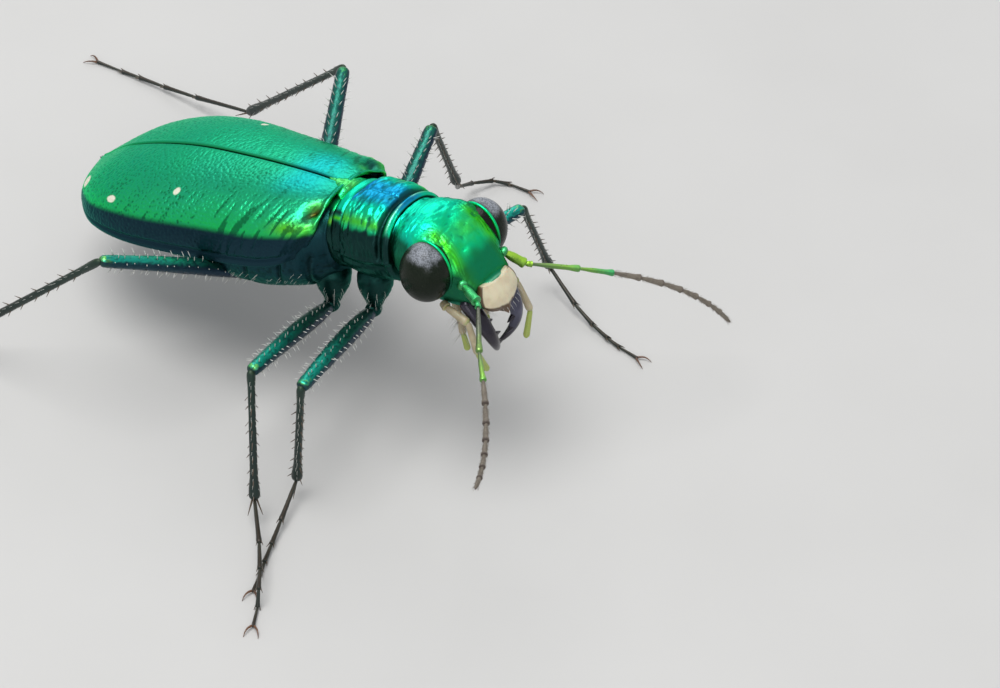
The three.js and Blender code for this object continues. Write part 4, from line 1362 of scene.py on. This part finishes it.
@dataclass
class Mouth:
    """Upper lip, jaws and palps, placed on the head."""

    lip_half_width: float = 0.6
    lip_length: float = 0.72
    lip_tooth: float = 0.17
    lip_thick: float = 0.12
    lip_forward: float = 2.31
    lip_up: float = -0.51
    lip_slope: float = 70.0
    jaw_reach: float = 1.35
    jaw_radius: float = 0.235
    teeth: Sequence[tuple[float, float]] = ((0.34, 0.26), (0.52, 0.30), (0.70, 0.24))
    outer_palp: Sequence[Place] = (
        (0.84, 1.46, -1.06), (0.04, 0.16, -0.05), (0.03, 0.60, -0.14), (0.06, 0.30, -0.68), (-0.25, 0.06, -0.58),
    )
    outer_radii: Sequence[float] = (0.11, 0.10, 0.085, 0.075)
    inner_palp: Sequence[Place] = (
        (0.38, 1.44, -1.28), (0.02, 0.12, -0.26), (0.03, 0.14, -0.54), (-0.02, 0.10, -0.42),
    )
    inner_radii: Sequence[float] = (0.11, 0.085, 0.075)
    palp_bristles: int = 46
    lip_bristles: int = 10

    def labrum(self) -> Skin:
        """The cream plate with a dark front edge and one middle tooth."""
        rows, across = 70, 90
        slope = math.radians(self.lip_slope)
        t = np.linspace(0, 1, rows)[:, None]
        u = np.linspace(-1, 1, across)[None, :]
        corner = np.where(t > 0.9, 1 - 1.6 * (t - 0.9) ** 2, 1)
        half = self.lip_half_width * (0.84 + 0.2 * np.sin(np.pi * 0.8 * t)) * corner
        tooth = self.lip_tooth * np.clip(1 - np.abs(u) * 3.4, 0, 1) ** 1.2
        reach = (self.lip_length * (1 - 0.16 * u**2 - 0.14 * np.abs(u) ** 5) + tooth) * t
        bulge = 0.15 * (1 - u**2) * (0.55 + 0.45 * np.sin(np.pi * t)) - 0.05 * bump(t, 1, 0.10)
        bulge = bulge + 0.02 * bump(u, 0, 0.12) * t + 0.012 * bump(np.abs(u), 0.42, 0.07) * t
        forward, up = self.lip_forward + reach * math.cos(slope), self.lip_up - reach * math.sin(slope)
        front = HEAD.at(u * half, forward + bulge, up)
        behind = (forward - self.lip_thick + 0.4 * bulge)[:, ::-1]
        back = HEAD.at(u[:, ::-1] * half * 0.98, behind, up[:, ::-1])
        edge = np.maximum(step(0.73, 0.87, t + 0.14 * bump(u, 0, 0.18)), 0.9 * step(0.91, 0.99, np.abs(u)))
        return Skin.rings(np.concatenate([front, back], 1), dark=np.concatenate([edge, edge[:, ::-1]], 1))

    def jaw(self, side: Side) -> Skin:
        """One sickle-shaped jaw with inner teeth."""
        sign = side.value
        t = np.linspace(-0.1, 1.08, 80)
        swing = 0.60 - 0.5 * np.abs(t) ** 2.6
        forward = 2.02 + 0.52 * np.sin(np.radians(140 * t)) - sign * 0.06 * t
        path = HEAD.at(sign * swing, forward, -1.02 - self.jaw_reach * t)
        s = (t - t[0]) / (t[-1] - t[0])
        radii = self.jaw_radius * (1 - s**1.5 * 0.8) * rounded(s, 0.08, 0.22)
        # Painted shade: the right jaw is darkened all along; the darker tips of both jaws are their own colour.
        dark = np.maximum(step(0.55, 0.95, s), 0.75 if side is Side.RIGHT else 0)
        parts = [Skin.rings(tube(path, radii, 40, 0.72, HEAD.way(0, 1, 0)), dark=dark[:, None])]
        inward = HEAD.way(-sign, 0, -0.25)
        for at, size in self.teeth:
            i = int(at * (len(t) - 1))
            tooth = spine(path[i], path[i] + inward * (radii[i] + size * 0.62), radii[i] * 0.62, rows=12)
            tooth.values = {"dark": np.full(len(tooth.points), 0.85)}
            parts.append(tooth)
        return Skin.joined(parts)

    @staticmethod
    def palp(points: Sequence[Array], radii: Sequence[float]) -> Skin:
        """A jointed palp.

        Args:
            points: its joints, from root to tip.
            radii: the radius of each segment.

        Returns:
            The palp as one mesh.
        """
        parts = []
        for k, radius in enumerate(radii):
            a, b = points[k], points[k + 1]
            s = spaced(34)
            path = a + (b - a) * (-0.04 + 1.08 * s)[:, None]
            swell = radius * (0.78 + 0.3 * s) * rounded(s, 0.12, 0.16)
            last = k == len(radii) - 1
            dark = np.ones(len(s)) if last else step(0.8, 0.98, s) * 0.5
            parts.append(Skin.rings(tube(path, swell, 22), dark=dark[:, None]))
        return Skin.joined(parts)

    @staticmethod
    def joints(side: Side, moves: Sequence[Place]) -> list[Array]:
        """The joints of a palp.

        Args:
            side: the side it is on.
            moves: its root on the head and then each segment, as left, forward and up of the left side.

        Returns:
            The joints in the model.
        """
        return [HEAD.at(side.value * left, forward, up) for left, forward, up in np.cumsum(moves, 0)]

    def build(self, finishes: Finishes) -> None:
        """Makes the pieces and their bristles."""
        self.labrum().piece("upper_lip", finishes["labrum"], Slot.LABRUM, "labrum")
        coat = Coat("mouth_bristles", 6)
        random = np.random.default_rng(71)
        for k, side in enumerate(Side):
            word = side.word
            self.jaw(side).piece(f"jaw_{word}", finishes["mandible"], Slot.MANDIBLE, f"mandible_{word}")
            outer = self.palp(self.joints(side, self.outer_palp), self.outer_radii)
            outer.piece(f"outer_palp_{word}", finishes["palp"], Slot.PALP, f"maxillary_palp_{word}")
            points = self.joints(side, self.inner_palp)
            inner = self.palp(points, self.inner_radii)
            inner.piece(f"inner_palp_{word}", finishes["palp"], Slot.PALP, f"labial_palp_{word}")
            a, b = points[1], points[2]
            axis = unit(b - a)
            s = random.random(self.palp_bristles)
            spin = random.random(self.palp_bristles) * 2 * np.pi
            out = around(axis, UP, spin)
            size = 0.2 + 0.14 * random.random(self.palp_bristles)
            coat.grow(a + (b - a) * s[:, None] + out * 0.07, unit(out + 0.7 * axis), size, out * 0.02, 0.006, k,
                      np.stack([s, spin / (2 * np.pi)], 1))
        u = np.linspace(-0.9, 0.9, self.lip_bristles)
        slope = math.radians(self.lip_slope)
        reach = self.lip_length * (1 - 0.22 * u**2) * 0.93
        forward = self.lip_forward + reach * math.cos(slope) + 0.12 * (1 - u**2)
        roots = HEAD.at(u * self.lip_half_width, forward, self.lip_up - reach * math.sin(slope))
        way, sag = unit(HEAD.way(0.25 * u, 1.0, -0.7)), HEAD.way(0 * u, -0.02, -0.04)
        coat.grow(roots, way, 0.16 + 0 * u, sag, 0.004, 2, np.stack([0.5 + 0 * u, u / 2 + 0.5], 1))
        coat.piece(finishes["bristle"], Slot.PALP)


@dataclass
class Feeler:
    """One antenna of eleven segments: four bare and metallic, then downy brown ones."""

    side: Side
    socket: Place
    heading: Place
    rise: Place
    shift: Place
    settled: float
    lengths: Sequence[float] = (0.62, 0.17, 1.15, 0.85, 0.72, 0.64, 0.58, 0.52, 0.48, 0.45, 0.5)
    radii: Sequence[float] = (0.115, 0.07, 0.062, 0.06, 0.062, 0.062, 0.06, 0.058, 0.055, 0.052, 0.048)
    bare: int = 4
    hairs: int = 110

    def joints(self) -> Array:
        """The joints between the segments, from the socket to the tip."""
        total = sum(self.lengths)
        points, run = [HEAD.at(*self.socket)], 0.0
        for length in self.lengths:
            t = (run + length / 2) / total
            h = math.radians(self.heading[0] + self.heading[1] * t + self.heading[2] * t * t)
            r = math.radians(self.rise[0] + self.rise[1] * t + self.rise[2] * t * t)
            way = FLOOR.way(math.sin(h) * math.cos(r), math.cos(h) * math.cos(r), math.sin(r))
            points.append(points[-1] + way * length)
            run += length
        share = np.array([0, 1, 1] + [self.settled] * (len(points) - 3))
        return np.array(points) + share[:, None] * FLOOR.way(*self.shift)

    def build(self, finishes: Finishes, column: int, coat: Coat) -> None:
        """Makes the segments and grows the down on the outer ones.

        Args:
            finishes: the finishes.
            column: the feeler's column of the coat's map.
            coat: the coat that the down joins.
        """
        joints = self.joints()
        random = np.random.default_rng(81 + column)
        # The two feelers sit at different points of the colour ramp: a painted reflection of the different light each
        # catches.
        scape_tone, tone_back = (0.8, 0.75) if self.side is Side.RIGHT else (1.15, 0.45)
        downy = len(self.radii) - self.bare
        base, end = [], []
        ball = np.linspace(-1, 1, 14)
        socket = joints[0] + np.outer(ball, unit(joints[1] - joints[0])) * 0.10
        base.append(Skin.rings(tube(socket, 0.13 * np.sqrt(1.001 - ball**2), 24), along=np.full((1, 1), 0.9)))
        for k, radius in enumerate(self.radii):
            a, b = joints[k], joints[k + 1]
            s = spaced(40)
            path = a + (b - a) * (-0.02 + 1.03 * s)[:, None]
            knob = 0.62 + 0.34 * step(0.0, 0.5, s) + (0.38 if 1 < k else 0.12) * step(0.72, 0.96, s)
            swell = radius * knob * rounded(s, 0.04, 0.05)
            if k == len(self.radii) - 1:
                swell = radius * rounded(s, 0.06, 0.6)
            tone = scape_tone + 0 * s if k < 2 else 0.25 * k - tone_back + 0.5 * s
            dark = 0.8 * step(0.85, 1, s) + 0.3 * step(0.12, 0, s)
            part = Skin.rings(tube(path, swell, 24), along=tone[:, None], dark=dark[:, None])
            (base if k < self.bare else end).append(part)
            if k >= self.bare:
                axis = unit(b - a)
                run, spin = random.random(self.hairs) * 0.95, random.random(self.hairs) * 2 * np.pi
                out = around(axis, (0.1, 0.2, 1.0), spin)
                size = 0.05 + 0.03 * random.random(self.hairs)
                coat.grow(a + (b - a) * run[:, None] + out * radius * 0.9, unit(out * 0.75 + axis), size, 0 * out,
                          0.0035, column, np.stack([(k - self.bare + run) / downy, spin / (2 * np.pi)], 1))
        word = self.side.word
        Skin.joined(base).piece(f"feeler_base_{word}", finishes["feeler_base"], Slot.ANTENNA, f"antenna_{word}")
        Skin.joined(end).piece(f"feeler_end_{word}", finishes["feeler_end"], Slot.ANTENNA)


@dataclass
class Leg:
    """One leg: coxa with trochanter, femur, spined tibia, five tarsal segments and two claws."""

    pair: Pair
    side: Side
    hip: Place
    ankle: Place
    swing: float
    heading: tuple[float, float]
    settle: float = 0.62
    tarsomeres: Sequence[float] = (0.36, 0.21, 0.16, 0.11, 0.16)
    packed_sole: float = 0.26 * math.cos(math.pi / 8)
    foot_radius: float = 0.058
    foot_shift: Place = (0.910, 0.636, -1.0)
    coxa_radius: Keys = ((0, 0.36), (0.3, 0.42), (0.55, 0.37), (0.8, 0.23), (1, 0.15))
    knob_radius: Keys = ((0, 0.14), (0.5, 0.19), (1, 0.13))
    toe_radius: Keys = ((0, 0.55), (0.15, 0.72), (0.8, 0.95), (0.94, 1.12), (1, 0.9))
    claw_joint_radius: Keys = ((0, 0.5), (0.3, 0.62), (1, 0.85))
    femur_radius: Keys = ((0, 0.14), (0.08, 0.18), (0.3, 0.215), (0.6, 0.20), (0.85, 0.17), (0.94, 0.165), (1, 0.14))
    tibia_radius: Keys = (
        (0, 0.08), (0.05, 0.10), (0.14, 0.085), (0.5, 0.085), (0.82, 0.095), (0.95, 0.13), (1, 0.11),
    )

    @property
    def word(self) -> str:
        """The leg's name as node and piece names have it."""
        return f"{self.pair.word}_{self.side.word}"

    def knee(self, hip: Array, ankle: Array) -> Array:
        """The knee, from hip, ankle, the two lengths and the swing about the line between."""
        femur, tibia, _ = self.pair.value
        axis = ankle - hip
        reach = np.linalg.norm(axis)
        axis = axis / reach
        share = (femur**2 - tibia**2 + reach**2) / (2 * reach)
        height = math.sqrt(max(0.0, femur**2 - share**2))
        up = unit(UP - axis * axis[2])
        return hip + axis * share + along(up, axis, self.swing) * height

    def tarsus(self, ankle: Array) -> list[Array]:
        """The tarsal joints, sinking from the ankle until the thin foot lies on the floor."""
        length = self.pair.value[2]
        points, drop = [ankle], ankle[2] - self.packed_sole
        for i, part in enumerate(self.tarsomeres):
            segment = length * part
            sink = min(drop * self.settle if i < 3 else drop, segment * 0.8)
            drop -= sink
            h = math.radians(self.heading[0] + (self.heading[1] - self.heading[0]) * i / 4)
            level = math.sqrt(segment**2 - sink**2)
            points.append(points[-1] + FLOOR.way(math.sin(h) * level, math.cos(h) * level, -sink))
        fall = self.packed_sole - self.foot_radius
        high = max(ankle[2] - self.packed_sole, 1e-6)
        shift = np.array(self.foot_shift) * fall
        return [p + shift * float(np.clip((ankle[2] - p[2]) / high, 0, 1)) for p in points]

    def joints(self) -> tuple[Array, Array, Array, Array]:
        """Root of the coxa, hip, knee and ankle."""
        hip = TRUNK.at(*self.hip)
        ankle = FLOOR.at(*self.ankle)
        lean = 0.1 if self.pair is Pair.HIND else 0.22
        root = TRUNK.at(self.hip[0] - self.side.value * 0.02, self.hip[1] + lean, self.hip[2] + 0.95)
        return root, hip, self.knee(hip, ankle), ankle

    @staticmethod
    def segment(
        a: Array, b: Array, radius: Keys, sides: int, rows: int, ends: tuple[float, float], grain: Grain,
        rough: float = 0.004, flat: float = 0.9, bow: float = 0.0,
    ) -> tuple[Skin, Array, Array]:
        """A limb segment with rounded ends and a finely uneven skin.

        Args:
            a: its first end.
            b: its second end.
            radius: its radius along its length.
            sides: points round it.
            rows: rings along it.
            ends: the shares of the length that the two roundings take.
            grain: the noise of its skin.
            rough: the depth of that noise.
            flat: its thickness over its width.
            bow: how far its middle rises off the straight line.

        Returns:
            The segment, its middle line and its radii.
        """
        s = spaced(rows)
        path = a + (b - a) * s[:, None] + np.outer(4 * s * (1 - s) * bow, UP)
        radii = follow(radius, s) * rounded(s, *ends)
        length = float(np.linalg.norm(b - a))
        turns = np.arange(sides) / sides * 24
        noise = grain.soft(s[:, None] * length / 0.07, turns[None, :], 24)
        grid = tube(path, radii, sides, flat)
        grid = grid + outward(grid, True) * (noise * rough)[..., None]
        return Skin.rings(grid, along=s[:, None], relief=noise), path, radii

    @staticmethod
    def bristle(
        coat: Coat, column: int, path: Array, radii: Array, random: np.random.Generator, rows: int, per_row: int,
        length: float, lean: float, reach: tuple[float, float], width: float,
    ) -> None:
        """Rows of bristles along a segment.

        Args:
            coat: the coat that they join.
            column: their column of its map.
            path: the segment's middle line.
            radii: its radii.
            random: where the draws come from.
            rows: how many rows run along it.
            per_row: how many bristles a row has.
            length: their mean length.
            lean: how far they lie toward the tip, 0 standing up.
            reach: the share of the segment where they start and end.
            width: their radius at the root.
        """
        way = unit(path[-1] - path[0])
        place = np.arange(per_row)[None, :] + random.random((rows, per_row)) * 0.7
        s = (reach[0] + (reach[1] - reach[0]) * place / per_row).ravel()
        spin = (2 * np.pi * (np.arange(rows)[:, None] + 0.25 * random.random((rows, per_row))) / rows).ravel()
        at = np.interp(s, spaced(len(path)), np.arange(len(path))).clip(0, len(path) - 1.001)
        i = at.astype(int)
        centre = path[i] + (path[i + 1] - path[i]) * (at - i)[:, None]
        r = radii[i] + (radii[i + 1] - radii[i]) * (at - i)
        out = around(way, (0.05, 0.1, 1.0), -spin)
        size = length * (0.75 + 0.5 * random.random(len(s)))
        sag = way * (size * 0.18)[:, None]
        coat.grow(centre + out * (r * 0.9)[:, None], unit(out + lean * way), size, sag, width, column,
                  np.stack([s, spin / (2 * np.pi) % 1], 1))

    def build(self, finishes: Finishes, coat: Coat, column: int) -> None:
        """Makes the leg's pieces and grows its bristles.

        Args:
            finishes: the finishes.
            coat: the coat that its bristles join.
            column: the leg's first column of the coat's map.
        """
        root, hip, knee, ankle = self.joints()
        grain, random = Grain(100 + column), np.random.default_rng(200 + column)
        word, joints = self.word, self.tarsus(ankle)
        thigh_way, shank_way = unit(knee - hip), unit(ankle - knee)
        coxa, coxa_line, coxa_radii = self.segment(
            root + (root - hip) * 0.3, hip, self.coxa_radius, 72, 70, (0.25, 0.12), grain, 0.008, 0.95)
        knob, _, _ = self.segment(
            hip - thigh_way * 0.16, hip + thigh_way * 0.30, self.knob_radius, 44, 40, (0.35, 0.3), grain)
        Skin.joined([coxa, knob]).piece(f"{word}_coxa_trochanter", finishes["coxa"], Slot.BLUE_GREEN, f"{word}_coxa")
        femur, thigh, thigh_radii = self.segment(
            hip + thigh_way * 0.18, knee, self.femur_radius, 44, 200, (0.04, 0.025), grain, 0.005, 0.86, 0.05)
        # The left mid and hind femora take the darker copy of the femur finish, as painted shade.
        far = self.side is Side.LEFT and self.pair is not Pair.FRONT
        femur.piece(f"{word}_thigh", finishes["femur_painted_shade" if far else "femur"], Slot.FEMUR, f"{word}_femur")
        tibia, shank, shank_radii = self.segment(
            knee - shank_way * 0.05, ankle, self.tibia_radius, 30, 170, (0.03, 0.02), grain, 0.003, 1.0)
        spines = self.spines(shank, shank_radii, random) + self.spurs(ankle, shank_way, joints)
        tibia.piece(f"{word}_shank", finishes["tibia"], Slot.SHANK, f"{word}_tibia")
        foot, last = [], len(self.tarsomeres) - 1
        for k, (a, b) in enumerate(zip(joints, joints[1:])):
            size = self.foot_radius * (1.0 - 0.035 * k)
            keys = [(x, y * size) for x, y in (self.toe_radius if k < last else self.claw_joint_radius)]
            part, _, _ = self.segment(a, b + (b - a) * 0.02, keys, 22, 60, (0.05, 0.05), grain, 0.0015, 1.0)
            foot.append(part)
            if k < last:
                spines += self.toe_spines(a, b, size, random)
        Skin.joined(foot).piece(f"{word}_foot", finishes["tarsus"], Slot.SHANK, f"{word}_tarsus")
        Skin.joined(spines).piece(f"{word}_spines", finishes["spine"], Slot.SHANK)
        Skin.joined(self.claws(joints)).piece(f"{word}_claws", finishes["claw"], Slot.SHANK)
        self.bristle(coat, column, thigh, thigh_radii, random, 7, 15, 0.16, 0.35, (0.08, 0.95), 0.017)
        self.bristle(coat, column + 1, shank, shank_radii, random, 5, 20, 0.10, 1.0, (0.06, 0.95), 0.0055)
        self.bristle(coat, column + 2, coxa_line, coxa_radii, random, 12, 8, 0.14, 1.0, (0.4, 0.95), 0.0045)

    @staticmethod
    def spines(path: Array, radii: Array, random: np.random.Generator) -> list[Skin]:
        """Three rows of short spines down the tibia."""
        way = unit(path[-1] - path[0])
        side = sideways(way)
        under = unit(np.cross(side, way)) * -1
        out = []
        for row in (side * 0.7 + under * 0.6, side * -0.7 + under * 0.6, side * 0.2 - under):
            for s in np.linspace(0.18, 0.94, 9) + random.uniform(-0.02, 0.02, 9):
                i = int(np.clip(np.searchsorted(spaced(len(path)), s), 1, len(path) - 2))
                start = path[i] + unit(row) * radii[i] * 0.7
                out.append(spine(start, start + unit(unit(row) + 1.1 * way) * random.uniform(0.14, 0.22), 0.013))
        return out

    @staticmethod
    def spurs(ankle: Array, way: Array, joints: list[Array]) -> list[Skin]:
        """The two long spurs at the tibia's tip."""
        reach = unit(way + 0.6 * unit(joints[1] - joints[0])) * 0.36
        aside = [sideways(way) * sign for sign in (-1, 1)]
        return [spine(ankle + out * 0.05, ankle + out * 0.17 + reach, 0.022, rows=10) for out in aside]

    @staticmethod
    def toe_spines(a: Array, b: Array, size: float, random: np.random.Generator) -> list[Skin]:
        """Small spines round the tip of a tarsal segment."""
        way = unit(b - a)
        side, root = sideways(way), b - way * 0.04
        ring = [side, -side, unit(side + (0, 0, 0.6)), unit(-side + (0, 0, 0.6))]
        return [spine(root + r * size * 0.8, root + unit(r + 1.6 * way) * random.uniform(0.12, 0.17), 0.009)
                for r in ring]

    @staticmethod
    def claws(joints: list[Array]) -> list[Skin]:
        """Two curved claws that spread from the last tarsal segment to the floor."""
        tip, way = joints[-1], unit(joints[-1] - joints[-2])
        made = []
        for out in (-sideways(way), sideways(way)):
            end = tip + way * 0.30 + out * 0.16
            end[2] = 0.006
            made.append(spine(tip + out * 0.02 - way * 0.02, end, 0.026, UP * 0.055 + out * 0.03, 16))
        return made


STANCE = (
    Leg(Pair.FRONT, Side.RIGHT, (-0.6, 0.65, -2.8), (-4.08, 1.91, 0.49), -1.7, (-68, -66)),
    Leg(Pair.FRONT, Side.LEFT, (0.6, 0.65, -2.8), (5.21, 2.06, 0.69), 4.5, (-22, -4)),
    Leg(Pair.MID, Side.RIGHT, (-0.75, -0.5, -2.9), (-5.25, 1.65, 0.58), 14, (-46, -60), settle=0.12),
    Leg(Pair.MID, Side.LEFT, (0.75, -0.5, -2.9), (5.25, -0.79, 1.74), -2, (124, 8)),
    Leg(Pair.HIND, Side.RIGHT, (-0.7, -2.3, -2.6), (-5.4, -6.9, 0.8), -31, (-168, -150)),
    Leg(Pair.HIND, Side.LEFT, (0.7, -2.3, -2.6), (5.02, -7.05, 0.8), 30.9, (-178, -172)),
)
FEELERS = (
    Feeler(Side.LEFT, (0.8, 1.92, -0.46), (44, 27, -10), (-11, -11, -35), (-0.174, -0.004, -0.157), 1),
    Feeler(Side.RIGHT, (-0.7, 1.94, -0.46), (-42, -8, -15), (-13, 20, 11), (0.194, 0.105, 0.109), 0.33),
)


@dataclass
class Down:
    """White hairs on the sides of the thorax and under it."""

    per_side: int = 170
    length: float = 0.13

    def build(self, finishes: Finishes, trunk: Trunk) -> None:
        """Grows the hairs from the trunk's skin.

        Args:
            finishes: the finishes.
            trunk: the trunk that they stand on.
        """
        coat = Coat("breast_hairs", 3)
        random = np.random.default_rng(301)
        behind = np.linspace(-0.2, 5.2, 240)
        grid, _, _ = trunk.surface(behind)
        lower = grid[:, trunk.cover:]
        normal = outward(grid, True)[:, trunk.cover:]
        count = 2 * self.per_side
        i = ((0.12 + 0.88 * random.random(count)) * (len(behind) - 1)).astype(int)
        way_round = random.uniform(0.22, 0.86, count) * np.where(random.random(count) < 0.5, -1, 1)
        j = np.round((1 - way_round) / 2 * (trunk.below - 1)).astype(int)
        back = TRUNK.way(0, -1, -0.4)
        n = normal[i, j]
        size = self.length * (0.6 + 0.8 * random.random(count)) * np.where(behind[i] > 2.9, 0.6, 1)
        coat.grow(lower[i, j] - n * 0.01, unit(n * 0.8 + back), size, np.outer(size * 0.25, (0, 0, -1.0)), 0.0055, 1,
                  np.stack([i / len(behind), way_round / 2 + 0.5], 1))
        coat.piece(finishes["bristle"], Slot.UNDERSIDE)


@dataclass
class Studio:
    """Pale floor, soft lights and the camera of the view."""

    target: Place = (1.36, -5.41, 2.0)
    distance: float = 90.0
    elevation: float = 42.0
    azimuth: float = 34.94
    roll: float = 3.13
    lens: float = 142.4
    sensor: float = 36.0
    clip: tuple[float, float] = (0.001, 10.0)
    floor_size: float = 0.9
    floor_sides: int = 96
    lights_at: Sequence[tuple[str, Place, float, float]] = (
        ("key", (-0.03, 0.02, 0.16), 0.12, 0.185),
        ("fill", (-0.14, -0.10, 0.09), 0.10, 0.036),
        ("rim", (0.12, 0.12, 0.10), 0.09, 0.04),
    )

    def build(self) -> None:
        """Makes the set."""
        self.camera()
        self.floor()
        self.lights()
        bpy.context.scene.view_settings.view_transform = "Standard"

    def camera(self) -> None:
        """The camera, in the model's frame."""
        e, a, r = (math.radians(v) for v in (self.elevation, self.azimuth, self.roll))
        back = Vector((-math.cos(a) * math.cos(e), -math.sin(a) * math.cos(e), math.sin(e)))
        level = Vector((math.sin(a), -math.cos(a), 0))
        above = back.cross(level)
        right = level * math.cos(r) + above * math.sin(r)
        up = above * math.cos(r) - level * math.sin(r)
        data = bpy.data.cameras.new("view")
        data.lens, data.sensor_width = self.lens, self.sensor
        data.clip_start, data.clip_end = self.clip
        camera = placed("view", data)
        rotation = Matrix((right, up, back)).transposed().to_4x4()
        camera.matrix_world = Matrix.Translation((Vector(self.target) + back * self.distance) * MM) @ rotation
        bpy.context.scene.camera = camera

    def floor(self) -> None:
        """A round pale floor."""
        mesh = bpy.data.meshes.new("floor")
        rim = [(self.floor_size * math.cos(w), self.floor_size * math.sin(w), 0) for w in circle(self.floor_sides)]
        mesh.from_pydata(rim, [], [list(range(self.floor_sides))])
        s = Surface("floor_pale")
        tone = s.blend((0.62, 0.61, 0.59), (0.57, 0.56, 0.54), s.noise(6.0, 3.0))
        mesh.materials.append(s.shade(Base_Color=tone, Roughness=0.75, Specular_IOR_Level=0.2))
        placed("floor", mesh)

    def lights(self) -> None:
        """A broad soft key from above, a fill and a rim light, in a pale room."""
        for name, place, size, watts in self.lights_at:
            data = bpy.data.lights.new(name, "AREA")
            data.shape, data.size, data.energy = "DISK", size, watts
            light = placed(name, data)
            light.location = place
            light.rotation_euler = (-Vector(place)).to_track_quat("-Z", "Y").to_euler()
        world = bpy.data.worlds.new("room")
        world.use_nodes = True
        background = world.node_tree.nodes["Background"]
        background.inputs["Color"].default_value = (0.92, 0.95, 1.0, 1.0)
        background.inputs["Strength"].default_value = 0.56
        bpy.context.scene.world = world


def main() -> None:
    """Builds the animal from its trunk outward, then the studio round it."""
    logging.basicConfig(level=logging.INFO, format="%(message)s")
    finishes = {word: finish.material() for word, finish in FINISHES.items()}
    for side in Side:
        Elytron(side).build(finishes)
    Scutellum().build(finishes)
    Pronotum().build(finishes)
    trunk = Trunk()
    trunk.build(finishes)
    Head().build(finishes)
    Mouth().build(finishes)
    down = Coat("feeler_down", len(FEELERS))
    for column, feeler in enumerate(FEELERS):
        feeler.build(finishes, column, down)
    down.piece(finishes["down"], Slot.ANTENNA)
    bristles = Coat("leg_bristles", 3 * len(STANCE))
    for place, leg in enumerate(STANCE):
        leg.build(finishes, bristles, 3 * place)
    bristles.piece(finishes["bristle"], Slot.FEMUR)
    Down().build(finishes, trunk)
    Studio().build()


if __name__ == "__main__":
    main()
